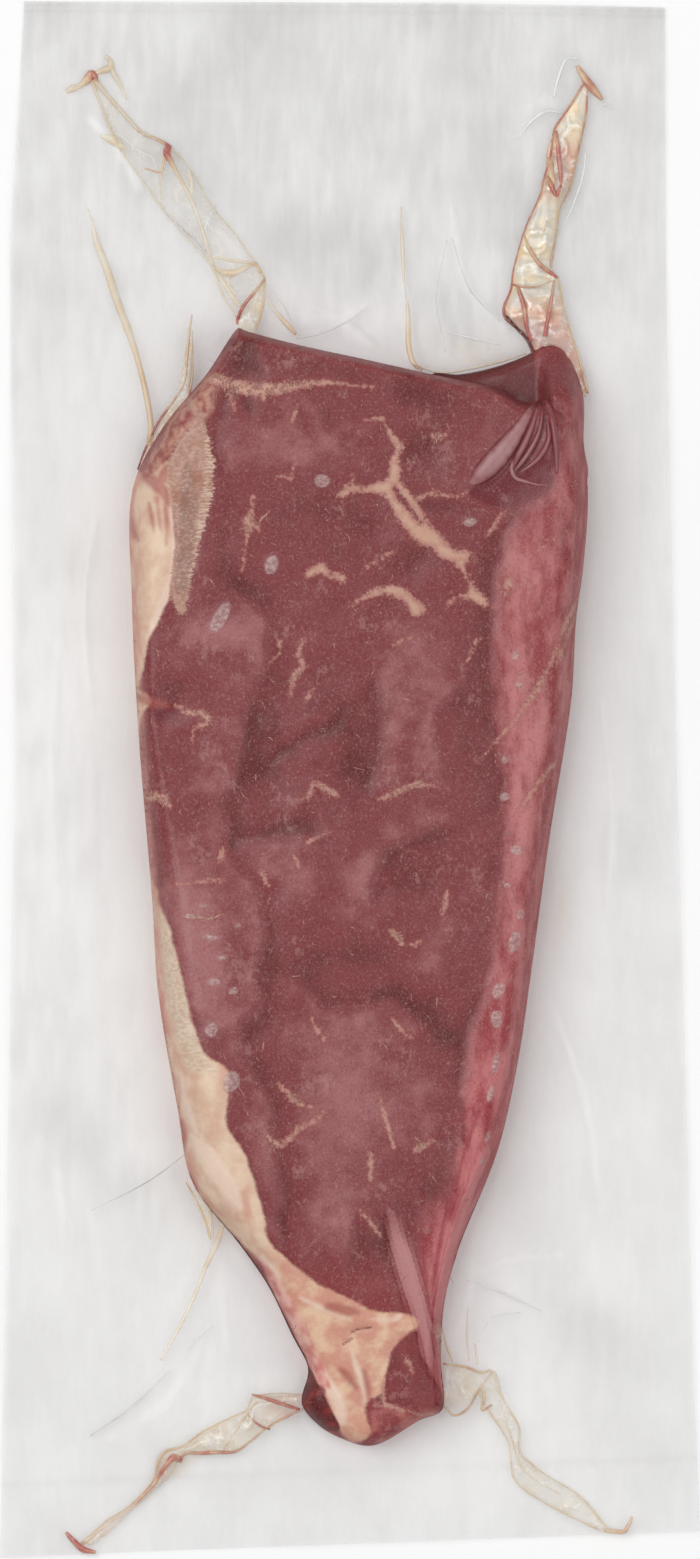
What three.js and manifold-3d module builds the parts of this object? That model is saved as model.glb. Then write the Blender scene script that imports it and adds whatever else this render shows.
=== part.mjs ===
// A raw sirloin steak, vacuum packed in a clear film bag and lying face up.
//
// Units are millimetres. +Z is up, +Y runs from the steak's narrow tail to its broad end, and +X is to the
// right when the pack is seen from above with the broad end at the top. The origin is the middle of the bag
// on the surface that the pack lies on.
//
// Two solids make the pack. The steak is one piece of meat: a slab with a rounded shoulder all round, a lower
// flap that shows past its slanted broad end, and the soft folds that the vacuum pressed into that corner.
// The bag is the sealed margin that stands out round the steak, with the puckered channels that collect juice
// at its four corners. Over and under the meat the film is skin tight, so there the steak's own surface
// stands for it.

import * as THREE from "three";
import { mergeVertices } from "three/addons/utils/BufferGeometryUtils.js";
import Module from "manifold-3d";

const { clamp, lerp, smoothstep } = THREE.MathUtils;
const kernel = await Module();
kernel.setup();

// Driving dimensions of the steak
const STEAK_THICKNESS = 20;
const TAIL_THICKNESS = 12.5;
const TAIL_STARTS_Y = -70;
const TAIL_ENDS_Y = -150;
const FLAP_THICKNESS = 9;
const FACE_WAVE = { height: 0.5, x: 13, y: 21 }; // swells of the cut face, with their spacing each way
const UNDERSIDE_ROUNDING = 3.5;

// Driving dimensions of the bag
const WELD_HEIGHT = 4.5; // the two films meet at this height beside the steak
const DRAPE_REACH = 15; // the margin sinks to the table over about this distance
const MARGIN_THICKNESS = 0.6; // both films laid together, drawn a little thick
const MARGIN_REST = 0.55; // middle of the margin's thickness above the table
const MARGIN_RIPPLE = { height: 1.6, x: [17, 41], y: [29, 23] }; // two crossing sets of ripples
const FILM_GAP = 0.5; // clearance between the bag and the steak

const STEPS_PER_POINT = 3; // samples between one outline point and the next
const CAP_STRETCH = 12; // longest stretch of a flat end that is filled in one go

// The steak's outline, clockwise from its broad left corner. Each point is x, y and the width of the
// rounded shoulder there, which is broad where the side of the steak slopes and shows from above.
const SLANTED_EDGE = [
  [-25.4, 101.9, 2.5], [-11.3, 98.3, 2.5], [3.4, 95.1, 2.5], [18.6, 91.7, 2.5],
];
const FOLDED_CORNER = [
  [32.6, 88.6, 2.5], [40.1, 85.4, 3], [45.5, 86.7, 4], [50.4, 84.5, 6],
];
const SIDES_AND_TAIL = [
  [53.7, 68, 8], [53, 49.8, 8], [51.2, 36.2, 8], [50.1, 18.1, 8], [45.1, -13.6, 8], [40.8, -45.3, 8],
  [38.1, -63.4, 8], [33.5, -83.8, 8], [24.5, -106.5, 7], [21.3, -119, 5], [20.6, -131, 3.5],
  [20.8, -142.7, 3], [15.9, -145, 4], [5, -150.8, 6], [-2.3, -149, 6], [-7.2, -146.1, 5],
  [-10.9, -141.3, 5], [-9.5, -133.2, 5], [-13.6, -124.6, 6], [-18.6, -114.4, 7], [-24.9, -105.3, 8],
  [-35.6, -91.3, 9], [-39, -74.7, 11], [-43.5, -47.6, 11], [-44.8, -27.2, 9], [-47.8, 9.1, 5],
  [-49.4, 40.8, 6], [-49.2, 65.7, 9], [-43, 78.8, 6], [-32.2, 92.9, 3],
];
const SLAB_OUTLINE = [...SLANTED_EDGE, ...FOLDED_CORNER, ...SIDES_AND_TAIL];
const STEAK_SPINE = [[4.1, 77], [1.4, 40.8], [-1.1, -4.5], [-1.1, -49.8], [1.1, -95.1], [4.1, -137]];

// The lower flap past the slanted edge: the part of its outline that shows, then the part inside the slab.
const FLAP_EDGE = [
  [24.7, 91.7, 3], [32.6, 93.3, 3], [39.9, 96, 3], [44.2, 98.6, 3], [48, 97.7, 3], [51.2, 92.4, 4],
  [52.9, 86.1, 5], [52.9, 76, 6],
];
const FLAP_INSIDE = [[47.6, 62, 3], [34, 77, 3], [20.4, 86.1, 3]];
const FLAP_OUTLINE = [SLANTED_EDGE.at(-1), ...FLAP_EDGE, SIDES_AND_TAIL[0], ...FLAP_INSIDE];
const FLAP_SPINE = [[26, 87.5], [40, 89], [47, 84], [48.5, 77]];

// Soft folds pressed into the folded corner: points along each crest with the fold's half width.
const FOLDS = [
  { rise: 1.9, crest: [[40.4, 85, 0.9], [36.6, 79.5, 1.7], [32.2, 73.4, 2.4], [27.2, 67.8, 1.4]] },
  { rise: 1.5, crest: [[44.2, 86, 0.8], [44.6, 79.5, 1.3], [42.4, 73.8, 1.4], [38, 69.6, 0.9]] },
];
const FOLD_HOLLOW = { x: 39.5, y: 65.4, halfLength: 7.5, halfWidth: 2.8, depth: 2.2, turn: -8 };
const FOLD_SINK = 1; // how far a fold's base is buried in the face

// The bag's edge, clockwise from its upper left corner. It was cut square, and the vacuum pulled it in.
const BAG_EDGE = [
  [-73.8, 176.3], [22.7, 175.9], [71.3, 174.9], [71.6, 112.1], [74.1, 1.1], [78.1, -141.6], [79.3, -170.3],
  [38.5, -171.7], [-47.6, -174.9], [-79.3, -176.3], [-77.2, -62.3], [-76.1, -5], [-77, 96.3], [-77, 122],
];

// Puckered channels at the corners: points along each with its half width, from the steak outwards. Each
// ends in a short cross pucker. Two thin streaks follow.
const CHANNEL_SINK = 0.1;
const CHANNEL_PLEAT = 0.3; // the crest leans this share of the half width to one side, then to the other
const CHANNELS = [
  {
    rise: 2.6,
    run: [
      [-24.2, 103.9, 2], [-24.4, 110, 3.4], [-27, 117.5, 5.6], [-33, 125, 6], [-39, 132.4, 5.6],
      [-45, 139.6, 4.4], [-51, 146.2, 2.6], [-54.6, 152.4, 1.5], [-57.6, 158.4, 0.7],
    ],
  },
  { rise: 1.2, run: [[-64.3, 156.1, 0.8], [-58.6, 159.6, 1.2], [-53.9, 160.9, 1.1], [-50.6, 154, 0.6]] },
  {
    rise: 3.2,
    run: [
      [46.6, 99.4, 5.4], [44.4, 105.6, 6.4], [42.6, 113.6, 6], [44, 121, 4.8], [46, 129.4, 4.8],
      [48.4, 138.4, 4.1], [50.4, 146, 3.3], [52.6, 152, 2.2], [53.8, 156, 1.2],
    ],
  },
  { rise: 1.3, run: [[50.7, 161.6, 0.9], [53.9, 157.2, 1.4], [57.1, 153.4, 0.9]] },
  {
    rise: 2.6,
    run: [
      [-13.2, -141.4, 2.6], [-20.4, -143.2, 3.9], [-27, -147, 3.2], [-33.6, -150.2, 2.5], [-39.6, -153.6, 2],
      [-45, -160, 1.4], [-52.4, -167, 1.2], [-59.6, -172.2, 0.8],
    ],
  },
  { rise: 1, run: [[-64.4, -170.5, 0.8], [-61.6, -173.2, 1.1], [-58.2, -174.2, 0.7]] },
  {
    rise: 2.8,
    run: [
      [23.4, -137.8, 4.6], [28, -138.2, 3.8], [32.6, -140.4, 3], [35.2, -146.6, 2.2], [37.4, -153.6, 1.8],
      [42.4, -159.4, 2.4], [50.4, -165, 2.2], [57.4, -169.2, 0.8],
    ],
  },
  { rise: 1, run: [[56, -169, 0.7], [60.6, -168.9, 1], [63.4, -166.2, 0.6]] },
  { rise: 0.9, run: [[-44.6, 78.2, 1.2], [-50.4, 93, 0.9], [-54.4, 108.6, 0.8], [-57.6, 122, 0.4]] },
  { rise: 0.8, run: [[-31.6, -98.6, 1], [-33, -110.8, 0.7], [-37.8, -121.8, 0.6], [-41.8, -130.6, 0.4]] },
];

// Curves and distances in the plane

/** Samples of x, y and shoulder width along a smooth closed outline, closest together where its points are. */
function sampleOutline(points) {
  const curve = new THREE.CatmullRomCurve3(points.map((p) => new THREE.Vector3(...p)), true, "centripetal");
  return curve.getPoints(points.length * STEPS_PER_POINT).slice(0, -1);
}

/** The point of a polyline of [x, y] that is nearest to a sample, seen from above. */
function nearestOn(line, sample) {
  let best = null;
  for (let i = 1; i < line.length; i++) {
    const start = new THREE.Vector2(...line[i - 1]);
    const along = new THREE.Vector2(...line[i]).sub(start);
    const offset = new THREE.Vector2(sample.x, sample.y).sub(start);
    const share = clamp(offset.dot(along) / along.lengthSq(), 0, 1);
    const point = start.addScaledVector(along, share);
    const distance = Math.hypot(sample.x - point.x, sample.y - point.y);
    if (!best || distance < best.distance) best = { x: point.x, y: point.y, distance };
  }
  return best;
}

/** How far from `from` a ray towards `through` meets a closed outline of [x, y]. */
function reachOfRay(from, through, outline) {
  const ray = new THREE.Vector2(through.x - from.x, through.y - from.y).normalize();
  let reach = 0;
  outline.forEach(([ax, ay], i) => {
    const [bx, by] = outline[(i + 1) % outline.length];
    const cross = ray.x * (by - ay) - ray.y * (bx - ax);
    const distance = ((ax - from.x) * (by - ay) - (ay - from.y) * (bx - ax)) / cross;
    const share = ((ax - from.x) * ray.y - (ay - from.y) * ray.x) / cross;
    if (distance > reach && share >= 0 && share <= 1) reach = distance;
  });
  return reach;
}

// Solids

/** A closed geometry over a stack of loops with equal point counts, capped or joined end to end. */
function skin(loops, joined = false) {
  const count = loops[0].length;
  const index = [];
  const strips = joined ? loops.length : loops.length - 1;
  for (let j = 0; j < strips; j++) {
    const here = j * count;
    const next = ((j + 1) % loops.length) * count;
    for (let i = 0; i < count; i++) {
      const k = (i + 1) % count;
      index.push(here + i, here + k, next + i, here + k, next + k, next + i);
    }
  }
  if (!joined) {
    addCap(index, loops[0], 0, false);
    addCap(index, loops.at(-1), (loops.length - 1) * count, true);
  }
  const geometry = new THREE.BufferGeometry().setFromPoints(loops.flat());
  geometry.setIndex(index);
  return geometry;
}

/** Triangles inside a flat loop. A long one is first cut across its middle, so that no triangle is long. */
function fillLoop(flat, ids) {
  const heights = ids.map((id) => flat[id].y);
  const [low, high] = [Math.min(...heights), Math.max(...heights)];
  const above = heights.map((y) => 2 * y > low + high);
  const turns = [...ids.keys()].filter((i) => above[i] !== above[(i + 1) % ids.length]);
  const upTo = turns[1] - turns[0];
  if (high - low < CAP_STRETCH || turns.length > 2 || upTo < 2 || upTo > ids.length - 2) {
    const triangles = THREE.ShapeUtils.triangulateShape(ids.map((id) => flat[id]), []);
    return triangles.map((corners) => corners.map((i) => ids[i]));
  }
  const turned = [...ids.slice(turns[0] + 1), ...ids.slice(0, turns[0] + 1)];
  const halves = [turned.slice(0, upTo + 1), [...turned.slice(upTo), turned[0]]];
  return halves.flatMap((half) => fillLoop(flat, half));
}

/** Fills a loop that is simple when seen along its own normal. */
function addCap(index, loop, first, forwards) {
  const centre = loop.reduce((sum, p) => sum.add(p), new THREE.Vector3()).divideScalar(loop.length);
  const normal = new THREE.Vector3();
  loop.forEach((p, i) => {
    const a = p.clone().sub(centre);
    normal.add(a.cross(loop[(i + 1) % loop.length].clone().sub(centre)));
  });
  const turn = new THREE.Quaternion().setFromUnitVectors(normal.normalize(), new THREE.Vector3(0, 0, 1));
  const flat = loop.map((p) => p.clone().sub(centre).applyQuaternion(turn));
  for (const [a, b, c] of fillLoop(flat, [...loop.keys()])) {
    index.push(...(forwards ? [first + a, first + b, first + c] : [first + a, first + c, first + b]));
  }
}

/** The solid inside a closed geometry, whichever way its faces were wound. */
function solidOf(geometry) {
  const merged = mergeVertices(geometry, 1e-4);
  const triangles = merged.index.array;
  const kept = [];
  for (let i = 0; i < triangles.length; i += 3) {
    const [a, b, c] = triangles.slice(i, i + 3);
    if (a !== b && b !== c && c !== a) kept.push(a, b, c);
  }
  const make = (triVerts) => new kernel.Manifold(new kernel.Mesh({
    numProp: 3, vertProperties: merged.attributes.position.array, triVerts: new Uint32Array(triVerts),
  }));
  const solid = make(kept);
  return solid.volume() > 0 ? solid : make(kept.reverse());
}

/** A three.js geometry for a solid. */
function geometryOf(solid) {
  const { vertProperties, triVerts } = solid.getMesh();
  const geometry = new THREE.BufferGeometry();
  geometry.setAttribute("position", new THREE.BufferAttribute(vertProperties, 3));
  geometry.setIndex(new THREE.BufferAttribute(triVerts, 1));
  geometry.computeVertexNormals();
  return geometry;
}

// Meat

/** Height of the steak's cut face, away from its shoulders. */
function faceHeight(x, y) {
  const tail = 1 - smoothstep(y, TAIL_ENDS_Y, TAIL_STARTS_Y);
  const wave = FACE_WAVE.height * Math.sin(x / FACE_WAVE.x + 1) * Math.cos(y / FACE_WAVE.y);
  return lerp(STEAK_THICKNESS, TAIL_THICKNESS, tail) + wave;
}

/** A quarter circle's rise: 0 at the outline, 1 where the shoulder meets the face. */
const roundedRise = (share) => Math.sqrt(1 - (1 - clamp(share, 0, 1)) ** 2);

/**
 * A cushion of meat in an outline: flat below, with rounded shoulders up to the height that top gives. Its
 * loops step in from the outline towards the spine, by shares of the shoulder and then of what is left.
 */
function cushion(outline, spine, top) {
  const rays = sampleOutline(outline).map((edge) => ({ edge, middle: nearestOn(spine, edge) }));
  const loopAt = (inset, height) => rays.map(({ edge, middle }) => {
    const depth = inset(edge.z, middle.distance);
    const share = depth / middle.distance;
    const x = lerp(edge.x, middle.x, share);
    const y = lerp(edge.y, middle.y, share);
    return new THREE.Vector3(x, y, height(x, y, depth / edge.z, depth));
  });
  const upper = (x, y, share) => lerp(WELD_HEIGHT, top(x, y), roundedRise(share));
  const lower = (x, y, share, depth) => WELD_HEIGHT * (1 - roundedRise(depth / UNDERSIDE_ROUNDING));
  const face = [0.96, 0.78, 0.5, 0.22].map((v) => loopAt((shoulder, reach) => lerp(shoulder, reach, v), upper));
  const shoulders = [1, 0.62, 0.36, 0.16, 0.05, 0].map((u) => loopAt((shoulder) => u * shoulder, upper));
  const rounding = [0.1, 0.4, 1].map((u) => loopAt(() => u * UNDERSIDE_ROUNDING, lower));
  const base = [0.5, 0.96].map((v) => loopAt((_, reach) => lerp(UNDERSIDE_ROUNDING, reach, v), lower));
  return solidOf(skin([...face, ...shoulders, ...rounding, ...base]));
}

/** A long soft ridge: rounded sections, sunk in the ground, along a smooth path of [x, y, half width]. */
function ridge(path, rise, sink, ground, pleat = 0) {
  const curve = new THREE.CatmullRomCurve3(path.map((p) => new THREE.Vector3(...p)), false, "centripetal");
  const widest = Math.max(...path.map((p) => p[2]));
  const sections = path.length * 2;
  const loops = [];
  for (let i = 0; i <= sections; i++) {
    const at = curve.getPoint(i / sections);
    const tangent = curve.getTangent(i / sections);
    const across = new THREE.Vector2(-tangent.y, tangent.x).normalize();
    const crest = rise * Math.sqrt(at.z / widest);
    const lean = i % 4 < 2 ? pleat : -pleat;
    const arch = [[-1, 0], [-0.62 + lean / 2, 0.72], [lean, 1], [0.62 + lean / 2, 0.72], [1, 0]];
    loops.push([...arch, [0.7, -1], [-0.7, -1]].map(([side, up]) => {
      const x = at.x + across.x * side * at.z;
      const y = at.y + across.y * side * at.z;
      return new THREE.Vector3(x, y, ground(x, y) + (up < 0 ? -sink : up * crest));
    }));
  }
  return solidOf(skin(loops));
}

/** A smooth egg-shaped hollow in the face. */
function foldHollow({ x, y, halfLength, halfWidth, depth, turn }) {
  const egg = new THREE.SphereGeometry(1, 20, 12).scale(halfLength, halfWidth, depth);
  egg.rotateZ(THREE.MathUtils.degToRad(turn)).translate(x, y, faceHeight(x, y));
  egg.deleteAttribute("normal");
  egg.deleteAttribute("uv");
  return solidOf(egg);
}

function makeSteak() {
  const slab = cushion(SLAB_OUTLINE, STEAK_SPINE, faceHeight);
  const flap = cushion(FLAP_OUTLINE, FLAP_SPINE, () => FLAP_THICKNESS);
  let steak = slab.add(flap);
  for (const { rise, crest } of FOLDS) steak = steak.add(ridge(crest, rise, FOLD_SINK, faceHeight));
  return steak.subtract(foldHollow(FOLD_HOLLOW));
}

// Bag

const STEAK_SILHOUETTE = sampleOutline([...SLANTED_EDGE, ...FLAP_EDGE, ...SIDES_AND_TAIL]);

/** Height of the middle of the margin: raised beside the steak, rippled, and low at the bag's edge. */
function marginHeight(x, y) {
  const distance = Math.min(...STEAK_SILHOUETTE.map((p) => Math.hypot(p.x - x, p.y - y)));
  const away = 1 - Math.exp(-distance / DRAPE_REACH);
  const { height, x: alongX, y: alongY } = MARGIN_RIPPLE;
  const ripple = Math.sin(x / alongX[0] + y / alongY[0]) * Math.cos(y / alongY[1] - x / alongX[1]);
  return lerp(WELD_HEIGHT, MARGIN_REST + (height * (1 + ripple)) / 2, away);
}

/** The sealed margin: a thin sheet from the steak's silhouette out to the bag's edge. */
function makeMargin() {
  const rays = STEAK_SILHOUETTE.map((edge) => {
    const middle = nearestOn(STEAK_SPINE, edge);
    const reach = reachOfRay(middle, edge, BAG_EDGE);
    const ray = new THREE.Vector2(edge.x - middle.x, edge.y - middle.y).normalize();
    return {
      inner: new THREE.Vector2(edge.x, edge.y),
      outer: new THREE.Vector2(middle.x, middle.y).addScaledVector(ray, reach),
    };
  });
  for (const corner of BAG_EDGE) {
    const distance = ({ outer }) => Math.hypot(outer.x - corner[0], outer.y - corner[1]);
    const nearest = rays.reduce((best, ray) => (distance(ray) < distance(best) ? ray : best));
    nearest.outer.set(...corner);
  }
  const loopAt = (share, side) => rays.map(({ inner, outer }) => {
    const p = inner.clone().lerp(outer, share);
    return new THREE.Vector3(p.x, p.y, marginHeight(p.x, p.y) + (side * MARGIN_THICKNESS) / 2);
  });
  const shares = [0, 0.12, 0.32, 0.62, 1];
  const above = shares.map((share) => loopAt(share, 1));
  const below = shares.toReversed().map((share) => loopAt(share, -1));
  return solidOf(skin([...above, ...below], true));
}

/** The space that a cushion takes up in the bag: its outline with the film's clearance, drawn upwards. */
function openingFor(outline, spine) {
  const loopAt = (z) => sampleOutline(outline).map((edge) => {
    const middle = nearestOn(spine, edge);
    const share = 1 + FILM_GAP / middle.distance;
    return new THREE.Vector3(lerp(middle.x, edge.x, share), lerp(middle.y, edge.y, share), z);
  });
  return solidOf(skin([loopAt(-STEAK_THICKNESS), loopAt(2 * STEAK_THICKNESS)]));
}

function makeBag() {
  let bag = makeMargin();
  for (const { rise, run } of CHANNELS) {
    bag = bag.add(ridge(run, rise, CHANNEL_SINK, marginHeight, CHANNEL_PLEAT));
  }
  return bag.subtract(openingFor(SLAB_OUTLINE, STEAK_SPINE)).subtract(openingFor(FLAP_OUTLINE, FLAP_SPINE));
}

// Scene graph

function makePiece(name, solid, look) {
  const mesh = new THREE.Mesh(geometryOf(solid), new THREE.MeshStandardMaterial(look));
  mesh.name = name;
  return mesh;
}

const pack = new THREE.Group();
pack.add(makePiece("steak", makeSteak(), { color: 0x8f5654, roughness: 0.45, metalness: 0 }));
pack.add(makePiece("bag", makeBag(), {
  color: 0xe6e6e4, roughness: 0.2, metalness: 0, transparent: true, opacity: 0.45,
}));

export default pack;
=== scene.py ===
"""A raw sirloin steak, vacuum packed in a clear film bag: its meat, fat and marbling, the film and the juice.

Sizes are in millimetres and places are x, y from the middle of the bag, unless a heading says pixels. Pixels are
those of the 700 x 1559 photograph, whose frame the bag fills. Meshes are made in metres. A field is a number at
each point of a mesh: most are how deep the point lies inside a thing, in mm, and negative outside it.
"""

import bmesh
import bpy
import numpy as np
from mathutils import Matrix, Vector, kdtree


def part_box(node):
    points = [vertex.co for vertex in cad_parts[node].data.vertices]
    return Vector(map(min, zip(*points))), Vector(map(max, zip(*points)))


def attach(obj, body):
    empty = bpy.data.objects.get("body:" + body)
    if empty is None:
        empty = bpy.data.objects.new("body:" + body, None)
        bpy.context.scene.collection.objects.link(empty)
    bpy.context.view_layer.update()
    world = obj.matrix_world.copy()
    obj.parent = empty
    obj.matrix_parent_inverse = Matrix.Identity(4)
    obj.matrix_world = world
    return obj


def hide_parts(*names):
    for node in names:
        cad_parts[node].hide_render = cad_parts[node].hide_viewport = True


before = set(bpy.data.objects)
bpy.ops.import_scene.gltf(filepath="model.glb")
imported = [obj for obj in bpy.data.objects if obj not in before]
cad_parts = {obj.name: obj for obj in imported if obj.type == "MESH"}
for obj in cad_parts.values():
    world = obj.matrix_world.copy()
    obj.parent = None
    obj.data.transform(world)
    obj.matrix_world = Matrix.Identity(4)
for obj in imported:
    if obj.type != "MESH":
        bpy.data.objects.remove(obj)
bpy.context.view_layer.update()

MM = 0.001
PHOTO_PIXELS = (700, 1559)
BAG_LOW, BAG_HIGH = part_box("bag")
MM_PER_PIXEL = (BAG_HIGH.x - BAG_LOW.x) / MM / PHOTO_PIXELS[0]

# Form of the meat, as its solid has it: x, y and the width of the shoulder

STEAK_THICKNESS = 20
TAIL_THICKNESS = 12.5
TAIL_STARTS_Y = -70
TAIL_ENDS_Y = -150
FLAP_THICKNESS = 9
FLAP_RISE = 9.5
UNDERSIDE_ROUNDING = 3.5
BASE_INSET = 0.8
WELD_HEIGHT = 4.5
SWELL = {"height": 0.5, "x": 13, "y": 21}

SLANTED_EDGE = [
    (-26.3, 101.2, 2.5), (-25.2, 102.2, 2), (-23.4, 101.5, 2.5), (-11.3, 98.3, 2.5), (3.4, 95.1, 2.5),
    (18.6, 91.7, 2.5),
]
FOLDED_CORNER = [(32.6, 88.6, 2.5), (40.1, 85.4, 3.5), (45.5, 86.7, 7), (50.4, 84.5, 8)]
RIGHT_SIDE = [
    (53.7, 68, 8), (53, 49.8, 8), (51.2, 36.2, 8), (50.1, 18.1, 8), (45.1, -13.6, 8), (40.8, -45.3, 8),
    (38.1, -63.4, 8), (33.5, -83.8, 8), (24.5, -106.5, 7), (21.3, -119, 5), (20.6, -131, 3.5),
]
TAIL_END = [
    (20.8, -142.7, 3), (15.9, -145, 4), (5, -150.8, 6), (-2.3, -149, 6), (-7.2, -146.1, 5),
    (-10.9, -141.3, 5),
]
LEFT_SIDE = [
    (-9.5, -133.2, 5), (-13.6, -124.6, 6), (-18.6, -114.4, 7), (-24.9, -105.3, 8), (-35.6, -91.3, 9),
    (-39, -74.7, 11), (-43.5, -47.6, 11), (-44.8, -27.2, 9), (-47.8, 9.1, 5), (-49.4, 40.8, 6),
    (-49.2, 65.7, 9), (-43, 78.8, 6), (-32.2, 92.2, 3),
]
SLAB_OUTLINE = SLANTED_EDGE + FOLDED_CORNER + RIGHT_SIDE + TAIL_END + LEFT_SIDE
SLAB_CORNERS = [(-25.2, 102.2), (50.4, 84.5), (20.8, -142.7), (-10.9, -141.3)]
STEAK_SPINE = [(4.1, 77), (1.4, 40.8), (-1.1, -4.5), (-1.1, -49.8), (1.1, -95.1), (4.1, -137)]
FLAP_EDGE = [
    (24.7, 91.7, 3), (32.6, 93.3, 3), (39.9, 96, 3), (44.2, 98.6, 3), (48, 97.7, 3), (51.2, 92.4, 4),
    (52.9, 86.1, 5), (52.9, 76, 6),
]
FLAP_OUTLINE = [SLANTED_EDGE[-1]] + FLAP_EDGE + [RIGHT_SIDE[0], (47.6, 62, 3), (34, 77, 3), (20.4, 86.1, 3)]
FLAP_CORNERS = [(18.6, 91.7), (48, 97.7), (53.7, 68), (34, 77)]
FLAP_SPINE = [(26, 87.5), (40, 89), (47, 84), (48.5, 77)]
SILHOUETTE = SLANTED_EDGE + FLAP_EDGE + RIGHT_SIDE + TAIL_END + LEFT_SIDE

# Form of the bag

BAG_EDGE_TOP = [(-73.8, 176.3), (22.7, 175.9), (71.3, 174.9)]
BAG_EDGE_RIGHT = [(71.3, 174.9), (71.6, 112.1), (74.1, 1.1), (78.1, -141.6), (79.3, -170.3)]
BAG_EDGE_BOTTOM = [(-79.3, -176.3), (-47.6, -174.9), (38.5, -171.7), (79.3, -170.3)]
BAG_EDGE_LEFT = [(-73.8, 176.3), (-77, 122), (-77, 96.3), (-76.1, -5), (-77.2, -62.3), (-79.3, -176.3)]
DRAPE_REACH = 15
MARGIN_REST = 0.55
FILM_THICKNESS = 0.15

# Fat, cartilage and muscle on the cut face, in pixels: outlines, and lines with a half width in mm

CARTILAGE = [
    (201, 415), (189, 431), (176, 448), (167, 468), (170, 490), (174, 516), (176, 542), (173, 566),
    (171, 590), (176, 612), (184, 616), (190, 596), (195, 568), (201, 544), (208, 520), (213, 497),
    (215, 474), (212, 446),
]
CARTILAGE_TIP = [(201, 417, 1.0), (194, 410, 0.9), (190, 402, 0.4)]
CARTILAGE_FRINGE = [
    (207, 432, 0.8), (213, 455, 1.6), (212, 485, 1.8), (207, 515, 1.6), (200, 545, 1.2), (193, 580, 0.8),
]
CARTILAGE_CORE = [(188, 470, 0.8), (189, 500, 1.8), (188, 530, 1.8), (185, 560, 1.6), (181, 590, 1.2)]
SHOULDER_FAT = [
    (170, 462), (158, 472), (148, 478), (136, 470), (124, 500), (122, 640), (136, 692), (143, 669),
    (150, 640), (160, 621), (169, 598), (174, 573), (176, 542), (173, 510), (171, 486),
]
SIDE_FAT = [
    (125, 690), (152, 700), (143, 712), (140, 740), (139, 790), (146, 852), (155, 888), (171, 932),
    (179, 963), (191, 1012), (205, 1053), (228, 1068), (229, 1090), (227, 1126), (244, 1150), (257, 1189),
    (264, 1215), (271, 1242), (289, 1260), (318, 1281), (352, 1299), (378, 1311), (412, 1314), (417, 1323),
    (399, 1338), (391, 1351), (386, 1372), (383, 1391), (367, 1401), (367, 1416), (370, 1432), (352, 1442),
    (333, 1412), (318, 1366), (300, 1330), (280, 1290), (262, 1262), (240, 1240), (200, 1210), (165, 1160),
    (160, 1060), (140, 960), (128, 850), (118, 760),
]
DARK_MUSCLE = [
    (404, 1336), (417, 1330), (417, 1346), (430, 1367), (434, 1376), (441, 1390), (441, 1412), (414, 1409),
    (383, 1404), (381, 1386), (388, 1364), (391, 1349),
]
TAIL_RED = [
    (371, 1402), (400, 1406), (441, 1410), (456, 1418), (410, 1428), (384, 1446), (364, 1444), (372, 1424),
]
FLAP_DARK = [
    (430, 372), (470, 364), (503, 360), (531, 348), (534, 372), (535, 398), (519, 407), (496, 396),
    (460, 384),
]
DARK_WEDGE = [
    (301, 1378), (309, 1366), (320, 1386), (333, 1411), (340, 1428), (326, 1430), (310, 1420), (294, 1408),
]
GREY_FAT = [
    (148, 880), (160, 905), (173, 942), (190, 1002), (196, 1030), (212, 1062), (220, 1070), (190, 1070),
    (178, 1040), (167, 1000), (160, 960), (151, 920),
]
SHOULDER_MEMBRANE = [
    (210, 373), (196, 392), (179, 408), (161, 440), (142, 474), (150, 484), (168, 470), (174, 451),
    (190, 431), (206, 421), (214, 402), (218, 382),
]
# The right side, where the face slopes down and is painted paler as if lit
RIGHT_SIDE_AREA = [
    (548, 496), (530, 507), (510, 534), (500, 568), (494, 620), (497, 700), (500, 760), (504, 830),
    (502, 890), (493, 960), (480, 1010), (470, 1060), (458, 1130), (442, 1188), (424, 1225), (426, 1280),
    (432, 1330), (437, 1400), (452, 1420), (470, 1300), (520, 1180), (560, 1000), (600, 700), (610, 560),
    (600, 400), (575, 400), (562, 470),
]
LEFT_STRIP = [
    (262, 1258), (274, 1272), (291, 1296), (306, 1326), (319, 1356), (327, 1374), (330, 1386), (318, 1382),
    (303, 1352), (288, 1318), (270, 1282),
]
CAVITY = [(158, 704), (180, 706), (178, 716), (162, 722), (153, 714)]
RED_FINGERS = [
    [(146, 478, 1.4), (156, 484, 1.6), (165, 494, 1.3), (168, 505, 0.9)],
    [(158, 500, 0.6), (160, 520, 0.5), (162, 533, 0.3)],
    [(166, 505, 0.6), (168, 525, 0.6), (167, 545, 0.3)],
    [(150, 505, 0.5), (153, 520, 0.5), (155, 534, 0.2)], [(168, 470, 1.2), (163, 480, 1.4)],
    [(133, 519, 0.6), (135, 534, 0.9), (139, 541, 0.4)],
    [(139, 697, 0.9), (152, 702, 1.3), (168, 706, 0.8)],
    [(328, 1305, 1.0), (343, 1308, 1.4), (358, 1311, 0.8)],
    [(341, 1368, 0.8), (349, 1376, 1.3), (356, 1386, 0.8)],
    [(364, 1369, 0.5), (367, 1382, 0.9), (370, 1396, 0.6)],
    [(182, 1160, 0.5), (190, 1176, 0.6), (196, 1188, 0.4)],
    [(181, 1120, 0.5), (184, 1140, 0.7), (183, 1156, 0.4)],
]
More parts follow.
